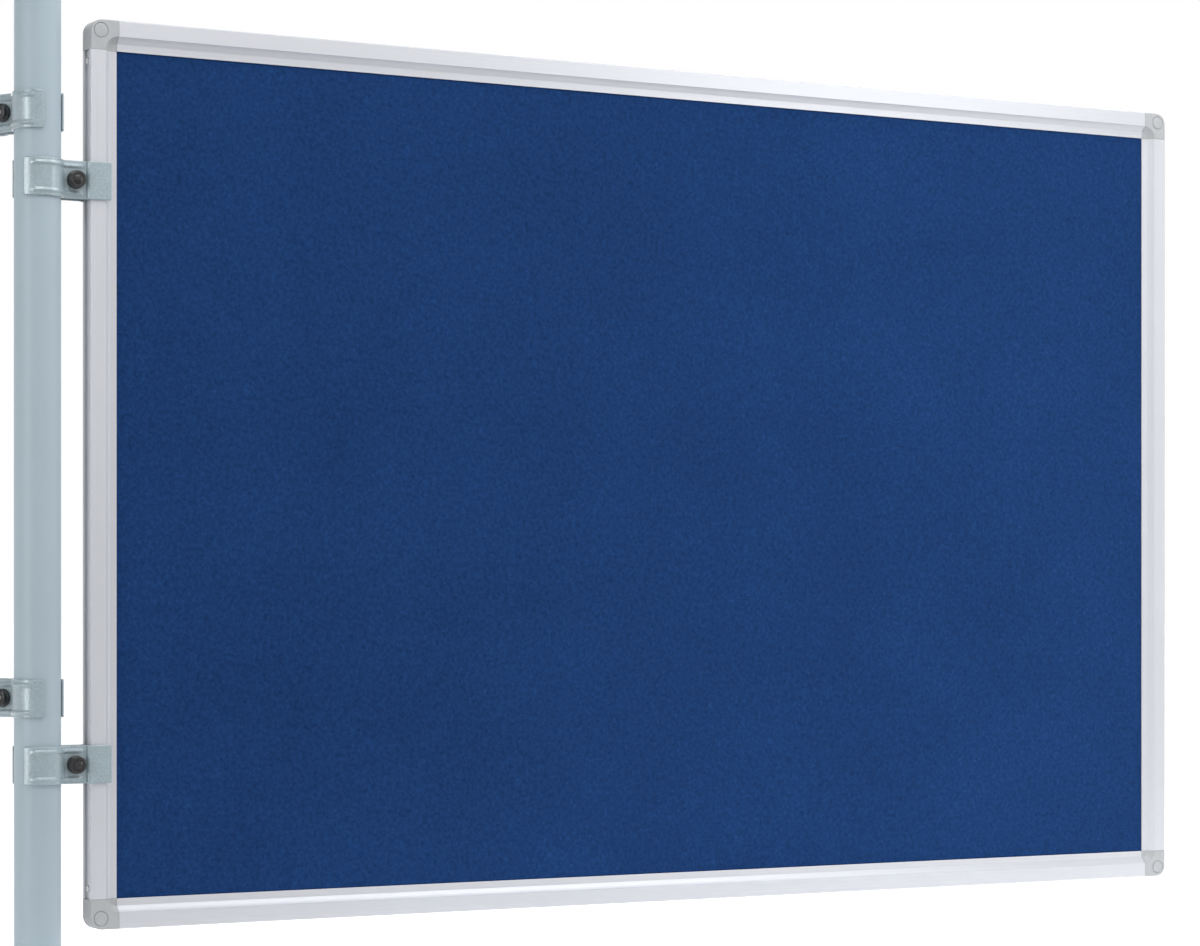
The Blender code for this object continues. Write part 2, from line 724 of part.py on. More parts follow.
def build_clamp(name, carrier, meshes):
    """Put one clamp together: its wing along the carrier's +X and its knob at -Y."""
    flipped = (math.pi, 0, 0)
    face_level = NECK_FACE + SEAT_GAP
    to_front = (math.pi / 2, 0, 0)
    to_back = (-math.pi / 2, 0, 0)
    front = (SCREW_OFFSET, -face_level, 0)
    back = (SCREW_OFFSET, face_level, 0)
    place(f"{name}_front_jaw", meshes["jaw"], "clamp_paint", carrier)
    place(f"{name}_back_jaw", meshes["jaw"], "clamp_paint", carrier, rotation=flipped)
    place(f"{name}_knob", meshes["knob"], "black_plastic", carrier, front, to_front)
    place(f"{name}_stud", meshes["stud"], "zinc_steel", carrier, front, to_front)
    place(f"{name}_nut", meshes["nut"], "zinc_steel", carrier, back, to_back)


def build_clamps(board):
    """Two clamps hold the board. Two more, higher and turned away, wait for the next board."""
    meshes = {"jaw": jaw_mesh(), "knob": knob_mesh(), "stud": stud_mesh(), "nut": nut_mesh()}
    upper = BOARD_TOP - RIGHT_CLAMP_DROP
    lower = upper - CLAMP_SPACING
    for level, height in (("upper", upper), ("lower", lower)):
        name = f"{level}_right"
        carrier = make_mark(f"{name}_axis", board, (0, 0, height))
        build_clamp(name, carrier, meshes)
        name = f"{level}_left"
        place_z = (0, 0, height + LEFT_CLAMP_RISE)
        carrier = make_mark(f"{name}_axis", None, place_z, (math.pi, 0, LEFT_CLAMP_ANGLE))
        build_clamp(name, carrier, meshes)


def build_part():
    clear_scene()
    build_post()
    board = make_mark("board_axis")
    build_frame(board)
    build_panel(board)
    build_clamps(board)


build_part()
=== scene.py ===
"""Looks of the presentation board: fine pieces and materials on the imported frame.

Metres, in the row frame. The board runs along +X from the post and its front faces -Y.
"""

import math

import bmesh
import bpy
from mathutils import Matrix, Vector, noise


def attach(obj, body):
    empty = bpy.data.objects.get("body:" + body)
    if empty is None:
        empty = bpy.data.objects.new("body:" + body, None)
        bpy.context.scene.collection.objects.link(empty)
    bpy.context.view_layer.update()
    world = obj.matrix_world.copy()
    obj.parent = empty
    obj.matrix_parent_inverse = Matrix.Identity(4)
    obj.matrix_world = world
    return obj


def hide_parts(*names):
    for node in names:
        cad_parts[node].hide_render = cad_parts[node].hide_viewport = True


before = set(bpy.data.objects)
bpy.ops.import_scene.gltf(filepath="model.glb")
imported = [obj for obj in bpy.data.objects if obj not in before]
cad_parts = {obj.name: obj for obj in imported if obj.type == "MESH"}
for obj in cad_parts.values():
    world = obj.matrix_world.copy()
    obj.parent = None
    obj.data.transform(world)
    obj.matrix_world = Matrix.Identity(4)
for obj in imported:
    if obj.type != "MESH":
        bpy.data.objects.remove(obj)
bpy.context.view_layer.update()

# Clearances and cuts
SEAT_GAP = 0.0003
OVERRUN = 0.001
RECESS_OVERRUN = 0.008
RECESS_LIFT = 0.000003
BORE_TRIM = 0.00001
SHARP_EDGE = 1.0

# Post
POST_RADIUS = 0.0255
POST_WALL = 0.002
POST_LENGTH = 1.105
POST_RIM = 0.0005
PLUG_FLANGE = 0.003
PLUG_EDGE = 0.0008
PLUG_STEM = 0.022
PLUG_WALL = 0.002
CAP_CROWN = 0.003

# Board and its frame
BOARD_WIDTH = 1.5
BOARD_HEIGHT = 1.0
BOARD_HALF = 0.0125
BOARD_RISE = 0.07
FELT_THICKNESS = 0.001
FELT_UNEVENNESS = 0.00005
FELT_WAVES = 9
FELT_COLUMNS = 150
FELT_ROWS = 96
FRAME_BAND = 0.0175
FRAME_SLOPE = 0.0075
FRAME_LIP = 0.008
FRAME_STEP = 0.007
FRAME_WALL = 0.0015
FRAME_EDGE_RADIUS = 0.0012
FRAME_SOFT_EDGE = 0.0004
FRAME_COVE = 0.0005
CHANNEL_DEPTH = 0.013
GROOVE_WIDTH = 0.014
GROOVE_DEPTH = 0.0022
CORNER_RADIUS = 0.014
ARM_LENGTH = 0.04
CAP_RADIUS = 0.00785
CAP_INSET = 0.012
CAP_SEAT_DEPTH = 0.0012
CAP_PROUD = 0.0004
CAP_EDGE = 0.00085
CAP_RIM = 0.0008
CAP_STEM_RADIUS = 0.0048
CAP_STEM_LENGTH = 0.006
SCREW_INSET = 0.012
SCREW_RADIUS = 0.00175
SCREW_LENGTH = 0.012
SCREW_HEAD_RADIUS = 0.0032
SCREW_HEAD_HEIGHT = 0.0016
SCREW_HEAD_EDGE = 0.0008
SCREW_CROSS_LENGTH = 0.0034
SCREW_CROSS_WIDTH = 0.0007
SCREW_CROSS_DEPTH = 0.0008

# Clamps
STRIP = 0.0025
STRIP_EDGE = 0.0012
LEAVE_ANGLE = math.radians(32)
STRAP_PAST_CENTRE = math.radians(55)
NECK_BEND_RADIUS = 0.004
NECK_DROP = 0.005
JOG_BEND_RADIUS = 0.00225
JOG_ANGLE = math.radians(75)
JOG_LEAD = 0.0009
WING_GRIP = 0.0235
WING_ROUNDING = 0.002
STRAP_ROUNDING = 0.003
BEAD_HALF_WIDTH = 0.0034
BEAD_HEIGHT = 0.0013
BEAD_CENTRE = 0.015
BEAD_RAMP = 0.006
BEAD_TO_STRAP_END = 0.0085
JAW_HALF_HEIGHT = 0.021
KNOB_RADIUS = 0.0102
KNOB_MARGIN = 0.0012
KNOB_SKIRT = 0.003
KNOB_STEP = 0.0006
KNOB_BODY = 0.0065
KNOB_EDGE = 0.0014
KNOB_FOOT_EDGE = 0.0004
KNOB_SKIRT_TURN = math.radians(72)
KNOB_RING_RADIUS = 0.0056
KNOB_RING_WIDTH = 0.0011
KNOB_RING_DEPTH = 0.0006
KNOB_CROWN = 0.0008
STUD_RADIUS = 0.004
STUD_PAST_NUT = 0.0035
THREAD_PITCH = 0.00125
THREAD_DEPTH = 0.0006
THREAD_START = 0.0005
THREAD_TIP_SHARE = 0.2
THREAD_TIP_TAPER = 1.3
COLLAR_NECK = 0.0002
COLLAR_RADIUS = 0.006
COLLAR_HEIGHT = 0.004
NUT_ACROSS_FLATS = 0.013
NUT_HEIGHT = 0.0065
NUT_CHAMFER = math.radians(30)
CLAMP_HEIGHTS = {
    "upper_right": 0.892,
    "lower_right": 0.252,
    "upper_left": 0.965,
    "lower_left": 0.325,
}
LEFT_CLAMP_ANGLE = math.radians(119)

# Colours
POST_BLUE_GREY = (0.312, 0.382, 0.43)
CLAMP_BLUE_GREY = (0.275, 0.345, 0.377)
MOULDED_BLACK = (0.014, 0.014, 0.016)
SILVER = (0.505, 0.517, 0.55)
CORNER_GREY = (0.342, 0.352, 0.366)
ZINC_TONES = ((0.3, (0.46, 0.47, 0.5)), (0.5, (0.58, 0.585, 0.59)), (0.7, (0.64, 0.62, 0.58)))
BOARD_TONES = ((0.3, (0.22, 0.14, 0.075)), (0.5, (0.36, 0.25, 0.15)), (0.72, (0.5, 0.38, 0.25)))
FELT_TONES = (
    (0.34, (0.0045, 0.0181, 0.065)),
    (0.46, (0.0071, 0.0278, 0.098)),
    (0.54, (0.0091, 0.0352, 0.122)),
    (0.68, (0.0149, 0.0556, 0.187)),
)
FELT_SHEEN = (0.2, 0.45, 1.0, 1.0)

# Studio
# The floor fades from painted shade in front of the board to a painted white glow behind it, where
# X and Y, weighted by FLOOR_AIM and added up, pass the ends of FLOOR_FADE
FLOOR_RADIUS = 60
FLOOR_NEAR_SHADE = (0.62, 0.62, 0.62)
FLOOR_FAR = (0.9, 0.9, 0.9)
FLOOR_GLOW = 0.77
FLOOR_FILL = 0.06
FLOOR_AIM = (0.3, 0.95)
FLOOR_FADE = (-0.45, 0.22)
SKY_TONES = ((0.0, 1.0), (0.2, 1.0), (0.33, 0.22), (1.0, 0.24))
CAMERA_LENS = 102.99
CAMERA_SENSOR = 36.0
CAMERA_SHIFT = 0.10523
CAMERA_PLACE = (-1.33448, -3.553073, 0.432941)
CAMERA_TURN = math.radians(-29.89)
# Name, place, target, size, power, spread in degrees
LIGHTS = (
    ("overhead_softbox", (0.6, -0.8, 2.8), (0.4, 0, 0.6), (2.6, 1.4), 25, 180),
    ("corner_softbox", (2.3, -0.55, 2.7), (1.1, 0, 0.3), (1.8, 1.0), 27, 180),
    ("front_softbox", (0.9, -2.6, 2.5), (0.8, 0, 0.6), (2.2, 1.2), 18, 180),
    ("right_softbox", (1.7, -1.15, 0.95), (1.45, 0, 0.45), (0.7, 1.2), 7.5, 180),
    ("back_softbox", (0.6, 2.6, 1.9), (0.7, 0, 0.55), (2.2, 1.2), 14, 180),
    ("left_strip", (-2.05, -0.75, 0.75), (-0.1, 0, 0.6), (0.7, 1.7), 3, 60),
    ("key", (-0.2, -1.3, 2.4), (0, 0, 0.6), (0.4, 0.3), 11, 180),
)

# Worked out from the ones above
SQUARE = math.pi / 2
FRAME_FACE = FRAME_BAND + FRAME_SLOPE + FRAME_LIP
BOARD_TOP = BOARD_RISE + BOARD_HEIGHT
LIP_LEVEL = BOARD_HALF - FRAME_STEP
CHANNEL_HALF = LIP_LEVEL - FRAME_WALL
CHANNEL_FLOOR = FRAME_FACE - CHANNEL_DEPTH
HOLLOW_START = GROOVE_DEPTH + FRAME_WALL
HOLLOW_END = CHANNEL_FLOOR - FRAME_WALL
POST_BORE = POST_RADIUS - POST_WALL
STRAP_LEVEL = POST_RADIUS + SEAT_GAP + STRIP / 2
WING_LEVEL = BOARD_HALF + SEAT_GAP + STRIP / 2
NECK_LEVEL = WING_LEVEL - NECK_DROP
NECK_FACE = NECK_LEVEL + STRIP / 2
NECK_TURN = SQUARE - LEAVE_ANGLE
NECK_CORNER = (
    STRAP_LEVEL * math.cos(LEAVE_ANGLE)
    + (STRAP_LEVEL * math.sin(LEAVE_ANGLE) - NECK_LEVEL) * math.tan(LEAVE_ANGLE)
)
NECK_START = NECK_CORNER + NECK_BEND_RADIUS * math.tan(NECK_TURN / 2)
SCREW_OFFSET = NECK_START + KNOB_MARGIN + KNOB_RADIUS
NECK_END = SCREW_OFFSET + KNOB_RADIUS + KNOB_MARGIN
JOG_BENDS_DROP = 2 * JOG_BEND_RADIUS * (1 - math.cos(JOG_ANGLE))
JOG_WALL_RUN = (NECK_DROP - JOG_BENDS_DROP) / math.tan(JOG_ANGLE)
JOG_RUN = 2 * JOG_BEND_RADIUS * math.sin(JOG_ANGLE) + JOG_WALL_RUN
BOARD_OFFSET = NECK_END + JOG_RUN + JOG_LEAD

CORNER_NAMES = ("bottom_left", "bottom_right", "top_right", "top_left")
SIDE_NAMES = ("bottom", "right", "top", "left")


# Materials


class Finish:
    """A node material round one Principled shader, in the piece's own coordinates."""

    def __init__(self, name, roughness=0.5, metallic=0.0, **uniform):
        self.material = bpy.data.materials.new(name)
        self.material.use_nodes = True
        self.nodes = self.material.node_tree.nodes
        self.links = self.material.node_tree.links
        self.shader = self.nodes["Principled BSDF"]
        self.shader.inputs["Roughness"].default_value = roughness
        self.shader.inputs["Metallic"].default_value = metallic
        for socket, value in uniform.items():
            self.shader.inputs[socket.replace("_", " ")].default_value = value
        self.place = self.nodes.new("ShaderNodeTexCoord").outputs["Object"]

    def stretched(self, factors):
        """Coordinates scaled by a factor for each axis."""
        mapping = self.nodes.new("ShaderNodeMapping")
        mapping.inputs["Scale"].default_value = factors
        self.links.new(self.place, mapping.inputs["Vector"])
        return mapping.outputs["Vector"]

    def cloud(self, scale, detail=2.0, roughness=0.5, factors=(1, 1, 1), distortion=0.0):
        """Noise between 0 and 1, with scale features to the metre."""
        node = self.nodes.new("ShaderNodeTexNoise")
        node.inputs["Scale"].default_value = scale
        node.inputs["Detail"].default_value = detail
        node.inputs["Roughness"].default_value = roughness
        node.inputs["Distortion"].default_value = distortion
        self.links.new(self.stretched(factors), node.inputs["Vector"])
        return node.outputs["Fac"]

    def cells(self, scale, smoothness=0.6):
        """Soft round cells, 0 at their middles."""
        node = self.nodes.new("ShaderNodeTexVoronoi")
        node.feature = "SMOOTH_F1"
        node.inputs["Scale"].default_value = scale
        node.inputs["Smoothness"].default_value = smoothness
        self.links.new(self.place, node.inputs["Vector"])
        return node.outputs["Distance"]

    def sum(self, *parts):
        """Add up (socket, weight) pairs."""
        total = None
        for socket, weight in parts:
            node = self.nodes.new("ShaderNodeMath")
            node.operation = "MULTIPLY_ADD"
            self.links.new(socket, node.inputs[0])
            node.inputs[1].default_value = weight
            node.inputs[2].default_value = 0.0
            if total is not None:
                self.links.new(total, node.inputs[2])
            total = node.outputs[0]
        return total

    def spread(self, socket, low, high, start=0.3, end=0.7):
        """Carry start..end over to low..high."""
        node = self.nodes.new("ShaderNodeMapRange")
        node.inputs["From Min"].default_value = start
        node.inputs["From Max"].default_value = end
        node.inputs["To Min"].default_value = low
        node.inputs["To Max"].default_value = high
        self.links.new(socket, node.inputs["Value"])
        return node.outputs["Result"]

    def ramp(self, socket, stops):
        """Colours by (position, colour) stops."""
        node = self.nodes.new("ShaderNodeValToRGB")
        elements = node.color_ramp.elements
        while len(elements) < len(stops):
            elements.new(0.5)
        for element, (position, colour) in zip(elements, stops):
            element.position = position
            element.color = (*colour, 1.0)
        self.links.new(socket, node.inputs["Fac"])
        return node.outputs["Color"]

    def tint(self, base, socket, amount):
        """The base colour, lighter and darker by a share of amount."""
        dark = tuple(channel * (1 - amount) for channel in base)
        light = tuple(min(channel * (1 + amount), 1.0) for channel in base)
        return self.ramp(socket, ((0.3, dark), (0.7, light)))

    def colour(self, socket):
        self.links.new(socket, self.shader.inputs["Base Color"])

    def roughness(self, socket):
        self.links.new(socket, self.shader.inputs["Roughness"])

    def relief(self, *layers):
        """Stack bumps of (socket, depth in metres, strength)."""
        normal = None
        for socket, depth, strength in layers:
            node = self.nodes.new("ShaderNodeBump")
            node.inputs["Distance"].default_value = depth
            node.inputs["Strength"].default_value = strength
            self.links.new(socket, node.inputs["Height"])
            if normal is not None:
                self.links.new(normal, node.inputs["Normal"])
            normal = node.outputs["Normal"]
        self.links.new(normal, self.shader.inputs["Normal"])


def powder_coat():
    """Satin blue-grey powder coat with a faint orange peel."""
    sheen = {"Coat_Weight": 0.05, "Coat_Roughness": 0.35, "Specular_IOR_Level": 0.45}
    finish = Finish("post_powder_coat", **sheen)
    broad = finish.cloud(7, 3)
    peel = finish.cloud(620, 3, 0.6)
    dust = finish.cloud(2600, 2)
    mixed = finish.sum((broad, 0.55), (peel, 0.3), (dust, 0.15))
    finish.colour(finish.tint(POST_BLUE_GREY, mixed, 0.05))
    finish.roughness(finish.spread(finish.sum((peel, 0.6), (broad, 0.4)), 0.42, 0.54))
    finish.relief((peel, 0.00025, 0.22), (dust, 0.00006, 0.15))
    return finish.material


def hammer_paint():
    """Blue-grey stove enamel with a fine hammered grain."""
    finish = Finish("clamp_hammer_paint", metallic=0.15, Coat_Weight=0.5, Coat_Roughness=0.22)
    dimples = finish.cells(420)
    grain = finish.cloud(900, 3, 0.6)
    broad = finish.cloud(60, 3)
    mixed = finish.sum((dimples, 0.35), (grain, 0.3), (broad, 0.35))
    finish.colour(finish.tint(CLAMP_BLUE_GREY, mixed, 0.13))
    finish.roughness(finish.spread(finish.sum((grain, 0.5), (broad, 0.5)), 0.27, 0.42))
    finish.relief((dimples, 0.0006, 0.3), (grain, 0.0002, 0.25))
    return finish.material


def black_plastic():
    """Black moulded plastic, satin, with a fine spark-eroded grain."""
    sheen = {"Coat_Weight": 0.1, "Coat_Roughness": 0.2, "Specular_IOR_Level": 0.55}
    finish = Finish("black_moulded_plastic", **sheen)
    grain = finish.cloud(3200, 3, 0.6)
    broad = finish.cloud(140, 3)
    mixed = finish.sum((grain, 0.5), (broad, 0.5))
    finish.colour(finish.tint(MOULDED_BLACK, mixed, 0.25))
    finish.roughness(finish.spread(mixed, 0.2, 0.32))
    finish.relief((grain, 0.00006, 0.25), (broad, 0.0002, 0.08))
    return finish.material


def zinc_plate():
    """Bright zinc plate, faintly blotchy."""
    finish = Finish("zinc_plated_steel", metallic=1.0)
    blotch = finish.cloud(260, 4, 0.6)
    grain = finish.cloud(2400, 2)
    mixed = finish.sum((blotch, 0.7), (grain, 0.3))
    finish.colour(finish.ramp(mixed, ZINC_TONES))
    finish.roughness(finish.spread(mixed, 0.24, 0.42))
    finish.relief((grain, 0.00006, 0.25))
    return finish.material


def brushed_aluminium():
    """Silver anodised extrusion: fine lines along the bar's own X, satin."""
    finish = Finish("anodised_aluminium", metallic=0.3)
    fine = finish.cloud(1.0, 3, 0.65, (5, 5200, 5200))
    lines = finish.cloud(1.0, 2, 0.5, (1.6, 950, 950))
    etch = finish.cloud(1900, 2, 0.6)
    broad = finish.cloud(4, 2)
    mixed = finish.sum((fine, 0.35), (lines, 0.35), (etch, 0.15), (broad, 0.15))
    finish.colour(finish.tint(SILVER, mixed, 0.08))
    finish.roughness(finish.spread(mixed, 0.34, 0.48))
    finish.relief((fine, 0.00005, 0.3), (lines, 0.00006, 0.25), (etch, 0.00004, 0.25))
    return finish.material


def corner_plastic():
    """Light grey moulded plastic with a fine grain."""
    finish = Finish("corner_moulded_plastic", Specular_IOR_Level=0.5)
    grain = finish.cloud(1700, 3, 0.6)
    broad = finish.cloud(90, 3)
    mixed = finish.sum((grain, 0.45), (broad, 0.55))
    finish.colour(finish.tint(CORNER_GREY, mixed, 0.045))
    finish.roughness(finish.spread(mixed, 0.38, 0.52))
    finish.relief((grain, 0.00012, 0.3))
    return finish.material


def needled_felt():
    """Blue needled felt: short crossing fibres, light and dark ones mixed, with a soft nap."""
    nap = {"Sheen_Weight": 0.1, "Sheen_Roughness": 0.5, "Sheen_Tint": FELT_SHEEN}
    finish = Finish("blue_needled_felt", roughness=0.95, Specular_IOR_Level=0.05, **nap)
    level = finish.cloud(1.0, 4, 0.65, (240, 700, 900), 0.8)
    upright = finish.cloud(1.0, 4, 0.65, (900, 700, 240), 0.8)
    tufts = finish.cloud(210, 3, 0.6, distortion=0.4)
    specks = finish.cloud(1800, 3, 0.7)
    broad = finish.cloud(5, 3)
    fibres = finish.sum((level, 0.22), (upright, 0.22), (tufts, 0.44), (specks, 0.12))
    mixed = finish.sum((fibres, 0.88), (broad, 0.12))
    finish.colour(finish.ramp(mixed, FELT_TONES))
    finish.relief((tufts, 0.0006, 0.25), (fibres, 0.0006, 0.45), (specks, 0.0003, 0.3))
    return finish.material


def softboard():
    """Raw softboard for the panel inside the frame."""
    finish = Finish("raw_softboard", roughness=0.9, Specular_IOR_Level=0.2)
    fibres = finish.cloud(1.0, 5, 0.7, (300, 900, 1500), 1.2)
    flecks = finish.cloud(700, 4, 0.7)
    mixed = finish.sum((fibres, 0.6), (flecks, 0.4))
    finish.colour(finish.ramp(mixed, BOARD_TONES))
    finish.relief((fibres, 0.0005, 0.5), (flecks, 0.0003, 0.4))
    return finish.material


def studio_white():
    """Floor with painted shade, pale grey in front of the board, and a painted glow, white behind
    it though it is no lamp.
    """
    finish = Finish("studio_floor", roughness=0.75, Specular_IOR_Level=0.2)
    broad = finish.cloud(0.6, 2)
    split = finish.nodes.new("ShaderNodeSeparateXYZ")
    finish.links.new(finish.place, split.inputs["Vector"])
    back = finish.sum((split.outputs["X"], FLOOR_AIM[0]), (split.outputs["Y"], FLOOR_AIM[1]))
    lit = finish.spread(back, 0, 1, *FLOOR_FADE)
    shade = finish.sum((lit, 0.99), (broad, 0.01))
    # Painted shade: the floor's colour is a darker grey in front of the board than behind it
    finish.colour(finish.ramp(shade, ((0.0, FLOOR_NEAR_SHADE), (1.0, FLOOR_FAR))))
    # Painted light: the floor glows faintly in front of the board and strongly behind it, though
    # it is no lamp
    glow = finish.spread(back, FLOOR_FILL, FLOOR_GLOW, *FLOOR_FADE)
    finish.shader.inputs["Emission Color"].default_value = (1.0, 1.0, 1.0, 1.0)
    finish.links.new(glow, finish.shader.inputs["Emission Strength"])
    finish.relief((finish.cloud(220, 3), 0.0002, 0.05))
    return finish.material


FINISHES = {
    "post_paint": powder_coat(),
    "clamp_paint": hammer_paint(),
    "black_plastic": black_plastic(),
    "zinc_steel": zinc_plate(),
    "anodised_aluminium": brushed_aluminium(),
    "corner_plastic": corner_plastic(),
    "blue_felt": needled_felt(),
    "fibreboard": softboard(),
}


# Shapes


def smooth(name, shape, angle=32):
    """Turn a bmesh into a mesh that is smooth except at its sharp edges."""
    mesh = bpy.data.meshes.new(name)
    shape.to_mesh(mesh)
    shape.free()
    mesh.shade_smooth()
    mesh.set_sharp_from_angle(angle=math.radians(angle))
    return mesh


def moved(shape, matrix):
    """Transform a shape and hand it back."""
    bmesh.ops.transform(shape, matrix=matrix, verts=shape.verts)
    return shape


def joined(shapes):
    """Gather separate shapes into one bmesh."""
    whole = bmesh.new()
    for shape in shapes:
        mesh = bpy.data.meshes.new("gathered")
        shape.to_mesh(mesh)
        shape.free()
        whole.from_mesh(mesh)
        bpy.data.meshes.remove(mesh)
    return whole


def combined(shape, tool, operation):
    """Join tool to shape, cut it away or keep what both share."""
    items = []
    for part in (shape, tool):
        mesh = bpy.data.meshes.new("combined")
        part.to_mesh(mesh)
        part.free()
        item = bpy.data.objects.new("combined", mesh)
        bpy.context.scene.collection.objects.link(item)
        items.append(item)
    modifier = items[0].modifiers.new("combine", "BOOLEAN")
    modifier.operation = operation
    modifier.solver = "EXACT"
    modifier.object = items[1]
    bpy.context.view_layer.update()
    graph = bpy.context.evaluated_depsgraph_get()
    mesh = bpy.data.meshes.new_from_object(items[0].evaluated_get(graph))
    result = bmesh.new()
    result.from_mesh(mesh)
    bpy.data.meshes.remove(mesh)
    for item in items:
        bpy.data.objects.remove(item, do_unlink=True)
    return result


def arc(centre, radius, start, end, steps):
    """Return the points of an arc, both ends included."""
    points = []
    for step in range(steps + 1):
        turn = start + (end - start) * step / steps
        points.append((centre[0] + radius * math.cos(turn), centre[1] + radius * math.sin(turn)))
    return points


def circle(centre, radius, segments):
    """Points of a whole circle, each one once."""
    return arc(centre, radius, 0, 2 * math.pi, segments)[:-1]


def eased(outline, steps=4):
    """Round the corners of a closed outline of (x, y, radius) points."""
    points = []
    count = len(outline)
    for index, (x, y, radius) in enumerate(outline):
        here = Vector((x, y))
        if radius == 0:
            points.append((x, y))
            continue
        before = (Vector(outline[index - 1][:2]) - here).normalized()
        after = (Vector(outline[(index + 1) % count][:2]) - here).normalized()
        half = before.angle(after) / 2
        reach = radius / math.tan(half)
        centre = here + (before + after).normalized() * radius / math.sin(half)
        first = here + before * reach - centre
        last = here + after * reach - centre
        start = math.atan2(first.y, first.x)
        sweep = math.atan2(last.y, last.x) - start
        sweep = (sweep + math.pi) % (2 * math.pi) - math.pi
        points += arc(centre, radius, start, start + sweep, steps)
    return points


def prism(outline, holes, low, high):
    """Extrude a plan outline, with holes, from low to high along Z."""
    shape = bmesh.new()
    rims = []
    for loop in (outline, *holes):
        verts = [shape.verts.new((x, y, low)) for x, y in loop]
        rims += [shape.edges.new(pair) for pair in zip(verts, verts[1:] + verts[:1])]
    bmesh.ops.triangle_fill(shape, use_beauty=True, edges=rims)
    grown = bmesh.ops.extrude_face_region(shape, geom=shape.faces[:])["geom"]
    lifted = [item for item in grown if isinstance(item, bmesh.types.BMVert)]
    bmesh.ops.translate(shape, vec=(0, 0, high - low), verts=lifted)
    bmesh.ops.recalc_face_normals(shape, faces=shape.faces)
    return shape


def block(low, high):
    """A box between two opposite corners."""
    (left, front, bottom), (right, back, top) = low, high
    outline = [(left, front), (right, front), (right, back), (left, back)]
    return prism(outline, [], bottom, top)


def stitched(shape, rings):
    """Wall each ring of vertices to the next one and close both ends."""
    for ring, following in zip(rings, rings[1:]):
        count = len(ring)
        for near in range(count):
            far = (near + 1) % count
            shape.faces.new((ring[near], ring[far], following[far], following[near]))
    shape.faces.new(rings[0])
    shape.faces.new(rings[-1])
    bmesh.ops.recalc_face_normals(shape, faces=shape.faces)
    return shape


def turned(profile, segments):
    """Spin a closed outline of (radius, height) points round Z."""
    shape = bmesh.new()
    turns = [2 * math.pi * step / segments for step in range(segments)]
    rings = []
    for radius, height in profile:
        if radius == 0:
            rings.append([shape.verts.new((0, 0, height))] * segments)
        else:
            ring = [(radius * math.cos(turn), radius * math.sin(turn), height) for turn in turns]
            rings.append([shape.verts.new(point) for point in ring])
    for ring, following in zip(rings, rings[1:] + rings[:1]):
        for near in range(segments):
            far = (near + 1) % segments
            corners = list(dict.fromkeys((ring[near], ring[far], following[far], following[near])))
            if len(corners) > 2:
                shape.faces.new(corners)
    bmesh.ops.recalc_face_normals(shape, faces=shape.faces)
    return shape


def dome(radius, edge, rise, steps=8):
    """Profile of a shallow crown from the middle out to its edge at height edge."""
    points = []
    for step in range(steps + 1):
        share = step / steps
        points.append((radius * step / steps, edge + rise * (1 - share ** 2)))
    return points


def show(name, mesh, finish, body, matrix=None, nodes=()):
    """Put a piece in place, on its body, in place of its nodes."""
    if not mesh.materials:
        mesh.materials.append(FINISHES[finish])
    piece = bpy.data.objects.new(name, mesh)
    bpy.context.scene.collection.objects.link(piece)
    if matrix is not None:
        piece.matrix_world = matrix
    weighted = piece.modifiers.new("even_normals", "WEIGHTED_NORMAL")
    weighted.keep_sharp = True
    bpy.context.view_layer.update()
    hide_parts(*nodes)
    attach(piece, body)
    return piece


# Post


def post_mesh():
    """The post's tube, from the foot plug's flange up."""
    bottom = PLUG_FLANGE + SEAT_GAP
    outline = [
        (POST_RADIUS, POST_LENGTH, POST_RIM),
        (POST_RADIUS, bottom, POST_RIM),
        (POST_BORE, bottom, POST_RIM),
        (POST_BORE, POST_LENGTH, POST_RIM),
    ]
    return smooth("post", turned(eased(outline), 128))


def plug_mesh(crown):
    """An end plug with its stem along +Z and its flange seated at height zero."""
    stem = POST_BORE - SEAT_GAP
    bore = stem - PLUG_WALL
    flat = POST_RADIUS - PLUG_EDGE
    face = [(radius, -height) for radius, height in dome(flat, PLUG_FLANGE, crown, 12)]
    edge = arc((flat, -PLUG_FLANGE + PLUG_EDGE), PLUG_EDGE, -SQUARE, 0, 6)[1:]
    inside = [(POST_RADIUS, 0), (stem, 0), (stem, PLUG_STEM), (bore, PLUG_STEM), (bore, 0), (0, 0)]
    return smooth("plug", turned(face + edge + inside, 96))


def dress_post():
    show("post", post_mesh(), "post_paint", "post", nodes=["post_tube"])
    foot = Matrix.Translation((0, 0, PLUG_FLANGE))
    show("foot_plug", plug_mesh(0), "black_plastic", "post", foot, ["post_foot_plug"])
    top = Matrix.Translation((0, 0, POST_LENGTH + SEAT_GAP)) @ Matrix.Rotation(math.pi, 4, "X")
    show("top_cap", plug_mesh(CAP_CROWN), "black_plastic", "post", top, ["post_top_cap"])


# Frame


def slope_inside(inset):
    """Height of the slope's inner face over the board's middle, at an inset from the edge."""
    length = math.hypot(FRAME_SLOPE, FRAME_STEP)
    start_inset = FRAME_BAND - FRAME_WALL * FRAME_STEP / length
    start_height = BOARD_HALF - FRAME_WALL * FRAME_SLOPE / length
    return start_height - (inset - start_inset) * FRAME_STEP / FRAME_SLOPE


def slope_inside_inset(height):
    """Inset from the outer edge where the slope's inner face has this height."""
    edge = slope_inside(FRAME_BAND)
    return FRAME_BAND + (edge - height) * FRAME_SLOPE / FRAME_STEP


def mirrored(points):
    """The points followed by their mirror images in the second coordinate."""
    return points + [(x, -y, radius) for x, y, radius in reversed(points)]


def cove(start, end, hollow, steps=8):
    """Points from start to end that sag below the straight line by hollow."""
    run = Vector(end) - Vector(start)
    below = Vector((run.y, -run.x)).normalized() * hollow
    points = []
    for step in range(steps + 1):
        share = step / steps
        point = Vector(start) + run * share + below * 4 * share * (1 - share)
        points.append((point.x, point.y, 0))
    return points


